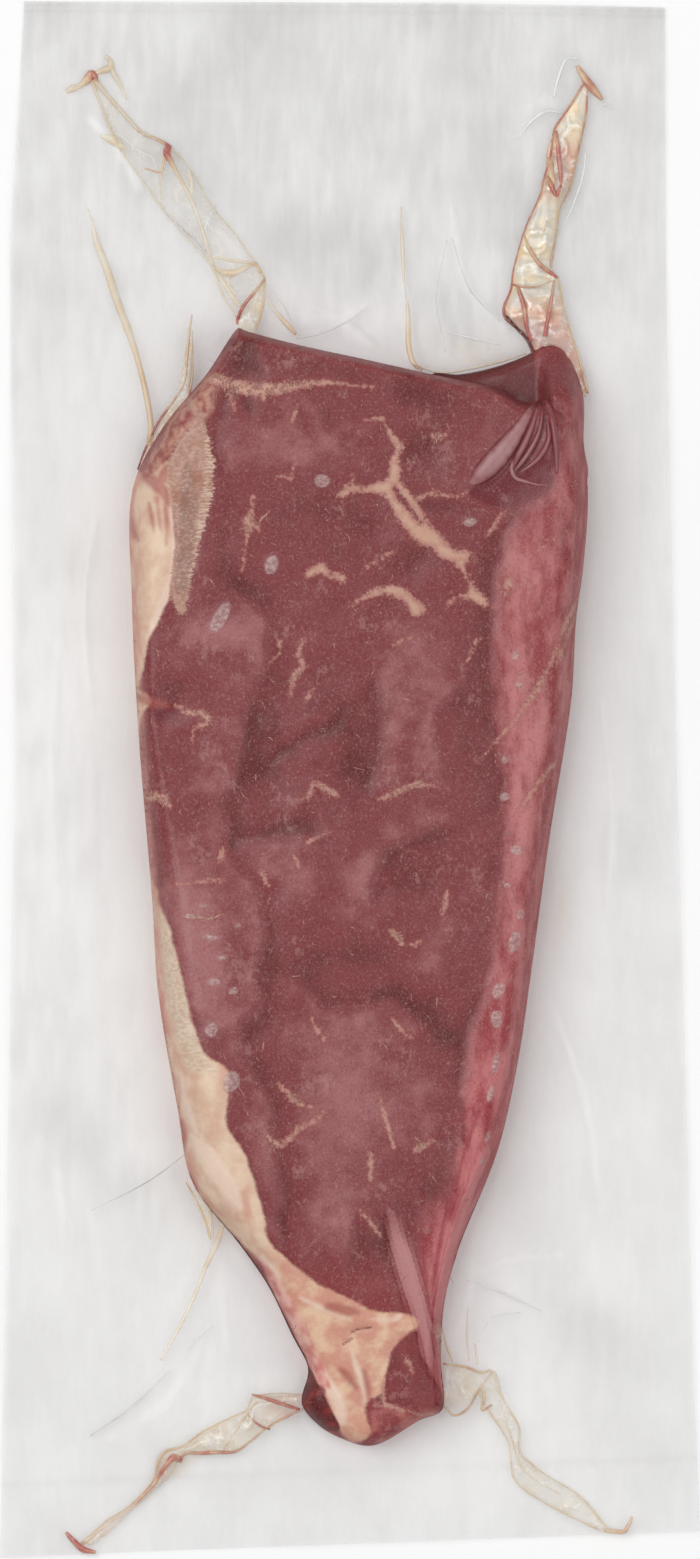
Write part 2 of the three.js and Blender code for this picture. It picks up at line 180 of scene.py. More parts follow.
PALE_STREAKS = [
    [(262, 1256, 0.8), (270, 1266, 1.3), (279, 1280, 0.6)],
    [(322, 1368, 0.6), (330, 1385, 1.4), (338, 1402, 1.6), (342, 1420, 1.0)],
    [(352, 1348, 0.4), (356, 1365, 0.8), (362, 1380, 0.9), (365, 1402, 0.6)],
    [(300, 1296, 0.5), (320, 1306, 0.7), (350, 1318, 0.3)],
    [(181, 1072, 0.5), (184, 1095, 0.9), (190, 1115, 1.2), (197, 1132, 0.6)],
    [(192, 1134, 0.6), (206, 1152, 1.9), (226, 1182, 2.2), (240, 1206, 1.2)],
    [(166, 498, 0.5), (172, 520, 0.5), (174, 560, 0.7), (168, 590, 0.9), (156, 622, 1.1), (148, 640, 0.6)],
    [(147, 478, 0.6), (153, 486, 1.0), (160, 478, 0.6)],
    [(158, 880, 0.2), (176, 950, 0.3), (195, 1020, 0.3)],
    [(405, 1306, 0.4), (395, 1318, 0.6), (372, 1318, 0.3)],
]

# Soft dark and light patches of the lean: middle in pixels, half length and half width in mm, turn, and strength
# (dark is negative)

# The dark patches are partly the lean's own tone and partly painted shade of its hollows, which the relief lowers too
SHADES = [
    (238, 360, 6, 4.5, 80, -0.9), (300, 362, 16, 3.2, 168, -0.5), (430, 398, 14, 4, 165, -0.8),
    (249, 407, 3, 1.4, 110, -0.9), (304, 425, 3.4, 1.5, 110, -0.8), (327, 416, 3, 1.4, 100, -0.8),
    (345, 441, 2, 1.3, 60, -0.9), (281, 448, 11, 8, 20, 0.6), (425, 450, 7, 5, 10, -0.9),
    (350, 440, 8, 6, 0, 0.25), (415, 562, 6, 4, 40, -1.0), (372, 520, 9, 5, 40, -0.6),
    (440, 508, 7, 2.4, 175, -0.7), (300, 510, 14, 6, 15, -0.4), (388, 606, 6, 2, 20, -0.4),
    (224, 545, 12, 2.4, 82, -0.6), (246, 590, 7, 3.5, 120, -0.6), (235, 632, 9, 5, 20, 0.9),
    (190, 640, 8, 4, 60, 0.6), (172, 692, 4, 3, 30, -0.9), (430, 715, 20, 9, 90, 0.55),
    (335, 690, 16, 6, 88, -0.5), (190, 560, 12, 3, 88, 0.3), (352, 772, 7, 4.5, 90, -0.8),
    (266, 772, 8, 4, 100, -0.6), (200, 810, 5, 3.6, 30, -0.8), (212, 770, 12, 4, 85, 0.5),
    (270, 868, 8, 4.5, 20, 0.6), (310, 880, 8, 5, 40, 0.45), (192, 920, 16, 6, 100, 1.0),
    (336, 925, 10, 5, 20, 0.2), (350, 956, 13, 4.0, 178, -0.7), (360, 880, 5, 8, 20, 0.4),
    (420, 880, 9, 5, 40, -0.7), (408, 1003, 7, 4, 160, -0.8), (430, 960, 7, 5, 70, 0.5),
    (212, 1000, 10, 5, 100, 0.6), (334, 1110, 20, 11, 85, 0.75), (300, 1030, 9, 4, 0, 0.3),
    (420, 1110, 16, 8, 90, 0.25), (396, 1215, 6, 4.5, 90, -0.8), (440, 1190, 9, 4, 75, -0.8),
    (255, 1120, 6, 3, 90, 0.4), (394, 1262, 11, 2.6, 112, -1.1), (330, 1225, 10, 6, 30, 0.5),
    (365, 1283, 8, 3, 0, 0.2), (437, 1040, 5, 3, 0, -0.9), (530, 560, 12, 3.5, 80, 0.7),
    (541, 685, 8, 4, 80, 0.6), (528, 790, 18, 4, 95, 0.5), (564, 530, 12, 1.6, 88, -0.9),
    (285, 1236, 5, 1.6, 95, -0.8), (500, 480, 6, 2, 30, -0.5), (463, 735, 10, 2.5, 90, -0.5),
]

# Where the lean turns dark along a line: the dark lies to the left as the line runs, out to its third number in mm

# These dark sides are partly the lean's own tone and partly painted shade
SHADE_EDGES = [
    [(222, 566, 0.3), (240, 592, 2.6), (258, 612, 3), (270, 645, 3), (260, 690, 4), (244, 722, 5),
     (236, 765, 5), (226, 800, 4.5), (227, 843, 2.6), (237, 866, 2.4), (258, 893, 3), (264, 925, 3),
     (260, 967, 3), (258, 1003, 4), (244, 1024, 5), (236, 1042, 5), (246, 1068, 4), (266, 1094, 3.4),
     (274, 1149, 4), (279, 1207, 3.4), (284, 1250, 0.3)],
    [(452, 1230, 0.3), (460, 1170, 3), (464, 1110, 3), (468, 1060, 3), (478, 1010, 3), (492, 960, 2.5),
     (501, 905, 2.5), (504, 860, 3), (504, 800, 4), (500, 750, 4), (497, 700, 4.4), (493, 650, 4.4),
     (495, 600, 4), (500, 565, 3.5), (509, 532, 3), (532, 503, 0.5)],
    [(224, 852, 0.3), (240, 845, 2.5), (256, 840, 3.5), (280, 838, 4), (304, 838, 3.5), (327, 848, 0.3)],
    [(470, 822, 0.3), (440, 828, 3), (412, 833, 4), (391, 845, 5), (378, 865, 5), (372, 890, 4),
     (380, 915, 0.3)],
    [(372, 800, 0.3), (380, 770, 4), (384, 735, 5), (380, 700, 4.5), (368, 665, 0.3)],
    [(270, 966, 0.3), (285, 972, 3), (318, 1000, 4), (362, 1011, 4.5), (391, 1003, 4), (427, 1026, 4),
     (464, 1042, 0.3)],
    [(352, 1205, 0.3), (356, 1229, 3), (352, 1251, 3.5), (346, 1270, 3), (340, 1290, 0.3)],
    [(268, 382, 0.5), (262, 368, 3), (254, 352, 3), (244, 336, 1.5)],
    [(222, 500, 0.3), (225, 470, 2.6), (226, 440, 3), (228, 415, 2.6), (233, 396, 1)],
    [(345, 700, 0.3), (330, 722, 2.4), (300, 735, 3), (276, 752, 2), (262, 775, 0.3)],
    [(420, 1345, 0.3), (409, 1318, 1.4), (402, 1288, 1.6), (393, 1254, 1.6), (386, 1222, 0.3)],
    [(480, 655, 0.3), (455, 690, 2.2), (436, 722, 2.6), (440, 760, 2.2), (455, 790, 0.3)],
]

# Veins of fat from the broad end to the tail, as lines in pixels with a half width in mm

VEINS = [
    [(205, 383, 0.4), (214, 380, 1.1), (228, 385, 1.5), (250, 391, 1.6), (270, 391, 1.4), (297, 387, 1.1),
     (330, 384, 0.4), (352, 387, 0.3), (372, 388, 0.15)],
    [(231, 392, 0.8), (233, 403, 0.5), (236, 412, 0.2)], [(262, 395, 0.9), (265, 402, 0.3)],
    [(365, 421, 0.2), (374, 420, 0.35), (382, 420, 0.6)],
    [(412, 502, 0.6), (424, 497, 0.5), (437, 495, 0.45), (452, 498, 0.3), (466, 494, 0.2)],
    [(352, 475, 0.2), (353, 484, 0.5), (345, 487, 0.2)],
    [(367, 569, 0.4), (379, 561, 0.4), (392, 552, 0.2)],
    [(253, 497, 0.2), (252, 512, 0.4), (249, 524, 1.3), (248, 536, 0.4), (242, 571, 0.2)],
    [(250, 523, 0.7), (259, 529, 0.5), (262, 536, 0.3)],
    [(257, 526, 0.4), (264, 518, 0.3), (270, 512, 0.15)],
    [(297, 407, 0.2), (295, 414, 0.4), (292, 423, 0.2)],
    [(296, 459, 0.2), (294, 470, 0.3), (290, 480, 0.5), (284, 476, 0.3), (276, 480, 0.3)],
    [(504, 512, 0.2), (497, 522, 0.5), (493, 529, 0.5), (484, 537, 0.2)],
    [(431, 436, 0.4), (438, 438, 0.7), (445, 436, 0.3), (452, 427, 0.15)],
    [(535, 553, 0.2), (543, 547, 0.5), (551, 541, 0.5), (562, 529, 0.2)],
    [(506, 583, 0.7), (514, 588, 0.3), (522, 585, 0.2)],
    [(515, 577, 0.2), (507, 585, 0.5), (505, 599, 0.6)],
    [(578, 598, 0.2), (571, 613, 0.5), (564, 627, 0.6), (556, 649, 0.4), (544, 676, 0.6), (533, 694, 0.7),
     (518, 716, 0.4), (503, 733, 0.4), (482, 758, 0.2)],
    [(577, 610, 0.2), (569, 632, 0.3), (560, 655, 0.3), (550, 680, 0.2)],
    [(482, 638, 0.2), (476, 641, 0.5), (471, 652, 0.4), (466, 664, 0.2)],
    [(412, 637, 0.2), (402, 642, 0.35), (393, 645, 0.2)],
    [(304, 639, 0.3), (299, 655, 0.3), (303, 666, 0.5), (294, 678, 0.7), (291, 694, 0.3)],
    [(279, 641, 0.3), (280, 653, 0.3), (271, 662, 0.15)],
    [(315, 689, 0.3), (310, 696, 0.4), (306, 701, 0.3)],
    [(176, 706, 0.5), (190, 713, 0.5), (204, 714, 0.9), (209, 722, 0.6), (196, 728, 0.4), (193, 742, 0.2)],
    [(300, 801, 0.3), (310, 794, 0.5), (314, 784, 0.5), (325, 788, 0.8), (338, 797, 0.3)],
    [(379, 799, 0.4), (392, 794, 0.6), (406, 788, 0.6), (418, 784, 0.9), (434, 787, 0.4)],
    [(147, 797, 1.0), (158, 797, 1.1), (168, 802, 0.7), (173, 809, 0.3)],
    [(555, 762, 0.3), (546, 772, 0.6), (533, 790, 0.4), (519, 811, 0.2)],
    [(224, 845, 0.3), (222, 855, 0.5), (218, 864, 0.3)],
    [(177, 884, 0.2), (196, 882, 0.4), (210, 881, 0.5), (224, 879, 0.3)],
    [(190, 915, 0.3), (210, 918, 0.4), (222, 914, 0.2)],
    [(329, 831, 0.4), (318, 836, 0.5), (307, 842, 0.3)],
    [(262, 871, 0.4), (266, 879, 0.5), (269, 886, 0.3)], [(295, 855, 0.4), (299, 866, 0.5)],
    [(390, 930, 0.5), (396, 935, 0.9), (401, 942, 0.6)],
    [(447, 891, 0.3), (444, 905, 0.4), (441, 920, 0.3)], [(412, 944, 0.5), (419, 942, 0.4)],
    [(311, 1016, 0.3), (317, 1028, 0.5), (325, 1040, 0.3)],
    [(392, 1018, 0.4), (401, 1029, 0.5), (412, 1038, 0.3)],
    [(265, 1131, 0.3), (274, 1141, 0.5), (283, 1143, 0.5), (299, 1128, 0.5), (314, 1120, 0.4),
     (329, 1107, 0.3)],
    [(279, 1083, 0.3), (287, 1091, 0.5), (294, 1098, 0.8), (302, 1103, 0.4), (311, 1105, 0.3)],
    [(381, 1098, 0.3), (384, 1112, 0.4), (389, 1130, 0.5), (394, 1147, 0.3)],
    [(370, 1152, 0.6), (371, 1166, 0.5), (369, 1180, 0.3)],
    [(434, 1140, 0.3), (424, 1144, 0.6), (414, 1149, 0.5)],
    [(360, 1209, 0.3), (369, 1219, 0.5), (380, 1234, 0.3)],
    [(437, 1322, 0.3), (439, 1331, 1.0), (441, 1341, 0.8), (440, 1354, 0.3)],
    [(383, 1376, 0.5), (382, 1390, 0.6), (384, 1402, 0.5), (392, 1405, 0.4)],
    [(370, 1403, 0.3), (395, 1406, 0.4), (417, 1412, 0.3), (436, 1414, 0.3)],
    [(405, 1355, 0.4), (409, 1362, 0.5), (413, 1371, 0.2)],
]
SLIT = [(393, 488, 0.3), (401, 500, 0.6), (411, 512, 0.6), (420, 523, 0.2)]
FLECKS = {"count": 1100, "length": (0.7, 4.2), "half_width": (0.05, 0.2), "lean": 112, "spread": 42}
FLECK_SEED = 7
BARB_SEED = 19
BARB_EVERY = 2
WIDE_VEIN = 0.55
MARBLING_RISE = 0.07
MARBLING_SLIMNESS = 0.85

# Broad fat in the lean, as outlines in pixels

FORK = [
    (381, 417), (387, 426), (394, 435), (402, 443), (404, 449), (399, 461), (401, 472), (399, 481),
    (408, 491), (414, 499), (421, 509), (431, 525), (446, 541), (456, 551), (471, 552), (468, 560),
    (465, 568), (471, 580), (477, 589), (488, 602), (484, 608), (474, 602), (466, 599), (456, 601),
    (444, 611), (445, 604), (455, 597), (467, 593), (467, 584), (461, 572), (450, 563), (438, 558),
    (433, 550), (421, 547), (409, 538), (405, 530), (394, 514), (389, 503), (382, 496), (365, 494),
    (352, 494), (343, 500), (334, 502), (342, 491), (352, 484), (365, 488), (376, 483), (384, 482),
    (388, 474), (390, 461), (394, 450), (389, 438), (386, 429),
]
CRESCENT = [
    (350, 607), (364, 596), (378, 587), (395, 586), (407, 591), (416, 599), (425, 607), (421, 616),
    (411, 618), (407, 608), (400, 601), (387, 597), (371, 598), (360, 603),
]
LEFT_BAR = [
    (303, 575), (313, 568), (323, 563), (331, 572), (345, 575), (344, 585), (337, 581), (327, 578),
    (318, 575), (308, 580),
]

# Air trapped under the film: middle in pixels, half length and half width in mm, turn in degrees from +X

BUBBLES = [
    (322, 482, 1.7, 1.5, 0), (221, 618, 3.9, 1.5, 60), (272, 566, 2.2, 1.4, 70), (470, 523, 1.6, 1.0, 20),
    (515, 656, 1.5, 0.6, 55), (518, 685, 0.9, 0.7, 0), (504, 760, 0.9, 0.7, 80), (504, 797, 1.1, 0.8, 40),
    (516, 850, 1.5, 1.0, 0), (520, 914, 1.2, 0.8, 80), (514, 941, 2.4, 1.3, 75), (498, 990, 1.9, 1.3, 60),
    (496, 1018, 1.9, 1.3, 90), (495, 1062, 2.6, 0.8, 80), (490, 1092, 2.0, 0.7, 80),
    (196, 916, 2.0, 0.5, 0), (212, 937, 1.9, 0.6, 0), (214, 981, 1.6, 0.9, 10), (234, 990, 1.2, 0.8, 30),
    (212, 1029, 1.8, 1.3, 60), (232, 1080, 2.4, 1.9, 70), (222, 957, 1.2, 0.5, 10),
    (238, 925, 1.0, 0.5, 40), (205, 905, 1.0, 0.4, 0), (507, 885, 0.8, 0.5, 0), (487, 1135, 1.3, 0.5, 70),
    (481, 1160, 1.0, 0.4, 70),
]

# Folds pressed into the corner: line in pixels with half widths in mm, rise in mm, how pale its painted highlight is
# along it

FOLDS = [
    ([(535, 404, 0.35), (528, 415, 1.0), (518, 431, 1.7), (505, 449, 2.4), (492, 464, 2.6), (479, 477, 2.0),
     (470, 485, 0.7)], 1.7, (0.3, 0.75, 0.6)),
    ([(537, 409, 0.3), (532, 426, 0.7), (524, 445, 0.9), (516, 460, 0.8), (512, 470, 0.3)], 1.5,
     (0.3, 0.35, 0.3)),
    ([(542, 414, 0.3), (538, 434, 0.6), (529, 452, 0.7), (519, 466, 0.6), (514, 472, 0.3)], 1.4,
     (0.2, 0.5, 0.6)),
    ([(546, 420, 0.3), (548, 440, 0.7), (540, 457, 0.7), (528, 468, 0.5), (520, 473, 0.3)], 1.2,
     (0.1, 0.4, 0.5)),
    ([(513, 460, 0.3), (511, 471, 0.6), (515, 479, 0.65), (526, 483, 0.5), (538, 486, 0.4),
     (548, 486, 0.25)], 1.1, (0.7, 0.8, 0.3)),
    ([(541, 398, 0.3), (547, 405, 0.7), (552, 425, 0.8), (555, 450, 0.7), (556, 475, 0.4)], 1.2,
     (0.1, 0.1, 0.25)),
]
FOLD_CREASES = [
    [(538, 402, 0), (531, 424, 0), (519, 448, 0), (504, 472, 0), (489, 486, 0), (471, 492, 0)],
    [(540, 402, 0), (544, 416, 0), (541, 436, 0), (531, 456, 0), (518, 472, 0)],
    [(549, 410, 0), (552, 440, 0), (550, 470, 0)],
]
FOLD_PIT = [(546, 459), (553, 484), (528, 502), (500, 510), (478, 500), (470, 491), (498, 481), (514, 470)]
FOLD_BED = 0.3

# Bands, folds and cracks near the tail, as lines in pixels with a half width in mm

TAIL_BAND = [
    (391, 1212, 0.8), (396, 1232, 1.8), (403, 1256, 2.7), (411, 1283, 2.6), (418, 1305, 2.2),
    (424, 1328, 1.8), (428, 1348, 1.5), (432, 1372, 0.7),
]
SIDE_FOLD = [
    (486, 1150, 0.8), (470, 1190, 1.2), (455, 1232, 1.4), (444, 1280, 1.3), (438, 1320, 1.1),
    (439, 1360, 0.9), (441, 1400, 0.6),
]
SIDE_LINES = [
    [(478, 1110, 0.2), (462, 1160, 0.35), (446, 1215, 0.35), (437, 1262, 0.35), (433, 1304, 0.3)],
    [(420, 1190, 0.1), (421, 1240, 0.2), (427, 1290, 0.25), (434, 1322, 0.2)],
    [(436, 1330, 0.2), (435, 1350, 0.3), (437, 1372, 0.3), (439, 1405, 0.2)],
]
TAIL_CRACKS = [[(351, 1331, 0), (360, 1327, 0), (371, 1326, 0)], [(343, 1343, 0), (352, 1337, 0)]]

# Relief of the meat in mm: layers of lumps (height, size, seed), and marks (field, start and end of its rise, height)

FACE_LUMPS = [(0.28, 17, 21), (0.12, 6, 22), (0.04, 1.6, 23)]
FACE_MARKS = [
    ("vein", -0.2, 1.5, 0.12), ("bubble", -0.25, 0.4, 0.22), ("pit", -3.5, 3, -0.8), ("crease", -0.7, 0, -0.4),
    ("side", -0.6, 0.3, -0.3),
]
SHADE_RELIEF = 0.26
FAT_RELIEF = {"height": 0.35, "lumps": (0.3, 5, 24), "pale": 0.25}
CARTILAGE_RELIEF = {"height": 0.35, "lumps": (0.16, 1.3, 25)}
BAND_RELIEF = 0.8
SIDE_FOLD_RELIEF = 1.0

# Fields of points that aren't on the cut face

NOT_BELOW = {"bubble": -9, "pit": -9, "crease": -9, "side": -9, "band": 0, "ridge": 0, "flap": 0, "inset": 0}
NOT_ON_FLAP = ("vein", "fat", "pit", "crease")
FAR_OUTSIDE = -3.0

# Marks of the film: distance from an edge and half width in mm, and lines in pixels

SEAL_LINES = [(0.9, 0.25), (1.9, 0.25)]
LOWER_SEAL = {"gap": 16.5, "half_width": 1.1}
FILM_CREASES = [
    [(404, 236, 0.2), (405, 290, 0.5), (412, 350, 0.6), (420, 372, 0.3)],
    [(262, 282, 0.3), (272, 315, 0.5), (292, 333, 0.3)],
    [(292, 334, 0.2), (330, 325, 0.4), (366, 306, 0.2)],
    [(430, 372, 0.3), (470, 378, 0.4), (508, 366, 0.3)],
    [(190, 205, 0.2), (228, 240, 0.5), (262, 280, 0.4)],
    [(452, 210, 0.2), (470, 290, 0.5), (506, 330, 0.3)],
    [(300, 300, 0.2), (335, 318, 0.4), (372, 345, 0.3)], [(548, 98, 0.3), (533, 117, 0.5), (522, 128, 0.2)],
    [(92, 120, 0.3), (120, 150, 0.5), (140, 190, 0.2)],
    [(470, 1275, 0.3), (500, 1262, 0.4), (560, 1255, 0.2)],
    [(455, 1340, 0.3), (470, 1290, 0.4), (476, 1240, 0.2)],
    [(226, 1250, 0.3), (222, 1300, 0.4), (228, 1350, 0.2)],
    [(200, 1350, 0.2), (170, 1400, 0.4), (110, 1440, 0.2)],
    [(60, 1175, 0.3), (66, 1230, 0.4), (64, 1290, 0.2)],
    [(92, 1205, 0.2), (97, 1240, 0.4), (98, 1290, 0.2)],
    [(555, 1010, 0.2), (585, 1100, 0.4), (600, 1200, 0.2)],
    [(600, 690, 0.2), (612, 800, 0.35), (608, 900, 0.2)], [(60, 640, 0.2), (52, 760, 0.35), (58, 880, 0.2)],
    [(95, 520, 0.2), (84, 600, 0.35), (90, 700, 0.2)],
]
# Grey bands of painted shade across the film, with no fold in its form: lines in pixels
FILM_SHADE_BANDS = [
    [(252, 20, 0), (232, 49, 0), (198, 89, 0), (172, 147, 0), (160, 190, 0)],
    [(440, 20, 0), (473, 71, 0), (495, 134, 0), (513, 196, 0), (520, 230, 0)],
    [(290, 240, 0), (330, 236, 0), (372, 246, 0), (380, 280, 0)],
    [(446, 300, 0), (458, 330, 0), (480, 344, 0)], [(58, 300, 0), (40, 420, 0), (60, 560, 0)],
    [(640, 380, 0), (622, 520, 0), (636, 700, 0), (628, 860, 0)],
    [(60, 1120, 0), (120, 1180, 0), (210, 1190, 0)], [(520, 1180, 0), (560, 1300, 0), (640, 1360, 0)],
]
FILM_SHADE_WIDTH = 6

# Stains of juice beside the meat, as ellipses like the bubbles and how strong each is

STAINS = [
    (560, 900, 9, 3, 85, 0.5), (440, 372, 10, 1.2, 8, 1.0), (512, 366, 8, 1.2, 160, 0.8),
    (460, 1386, 4, 3.4, 20, 1.0), (181, 1459, 3.4, 1.8, 40, 1.0), (288, 1403, 3.4, 1.6, 0, 1.0),
]

# Channels of juice: both edges in pixels, rise in mm, how red it is from start to end, and how opaque

CHANNELS = {
    "top_left": {
        "left": [(92, 80), (99, 101), (110, 129), (122, 152), (138, 175), (161, 207), (181, 232),
         (198, 250), (214, 269), (218, 285), (227, 303), (237, 318), (241, 330)],
        "right": [(96, 80), (106, 94), (122, 112), (142, 133), (156, 139), (169, 145), (184, 161),
         (195, 175), (207, 198), (220, 216), (234, 232), (246, 250), (255, 262), (265, 279), (260, 305),
         (255, 330)],
        "rise": 3.0, "redness": (0.2, 0.0, 0.05), "body": 0.04,
    },
    "top_right": {
        "left": [(583, 83), (564, 115), (555, 129), (550, 158), (543, 182), (541, 193), (527, 225),
         (519, 249), (513, 273), (511, 289), (504, 308), (506, 320), (524, 334), (533, 350), (546, 368),
         (578, 392)],
        "right": [(588, 90), (587, 97), (586, 113), (578, 153), (570, 188), (560, 209), (556, 236),
         (551, 268), (558, 277), (562, 297), (570, 330), (579, 360), (587, 394)],
        "rise": 3.4, "redness": (0.5, 0.15, 0.75, 0.65, 0.1, 0.1, 0.5, 0.8, 0.8, 1.5), "body": 0.6,
    },
    "bottom_left": {
        "left": [(306, 1394), (273, 1395), (252, 1395), (247, 1409), (231, 1417), (205, 1430), (182, 1446),
         (166, 1451), (159, 1459), (153, 1480), (129, 1506), (106, 1521), (82, 1541)],
        "right": [(304, 1410), (268, 1428), (252, 1440), (236, 1451), (216, 1453), (187, 1455), (179, 1461),
         (172, 1474), (157, 1489), (134, 1509), (112, 1530), (91, 1546)],
        "rise": 2.8, "redness": (0.8, 0.3, 0.35, 0.9, 0.5), "body": 0.26,
    },
    "bottom_right": {
        "left": [(443, 1362), (464, 1366), (482, 1372), (494, 1370), (504, 1398), (519, 1425), (520, 1452),
         (545, 1474), (580, 1496), (608, 1528)],
        "right": [(444, 1406), (454, 1415), (467, 1409), (477, 1394), (487, 1410), (508, 1442), (515, 1480),
         (547, 1504), (600, 1532)],
        "rise": 3.0, "redness": (0.1, 0.05, 0.1), "body": 0.16,
    },
    "left_point": {
        "left": [(189, 330), (185, 352), (176, 394), (160, 424), (136, 470)],
        "right": [(193, 330), (193, 352), (190, 392), (184, 420), (170, 440)], "rise": 1.6,
        "redness": (0.1, 0.3, 0.8), "body": 0.35,
    },
    "top_point": {
        "left": [(264, 281), (255, 292), (244, 306), (238, 319), (240, 333)],
        "right": [(266, 282), (264, 300), (261, 316), (256, 334)], "rise": 1.2, "redness": (0.1, 0.15, 0.2),
        "body": 0.4,
    },
    "low_point": {
        "left": [(186, 1178), (196, 1200), (205, 1222), (209, 1240)],
        "right": [(200, 1186), (210, 1205), (212, 1225), (211, 1240)], "rise": 1.0,
        "redness": (0.3, 0.2, 0.1), "body": 0.3,
    },
}

# Folds that hold juice: rows of line (pixels and half width in mm), rise in mm, and how dark from start to end

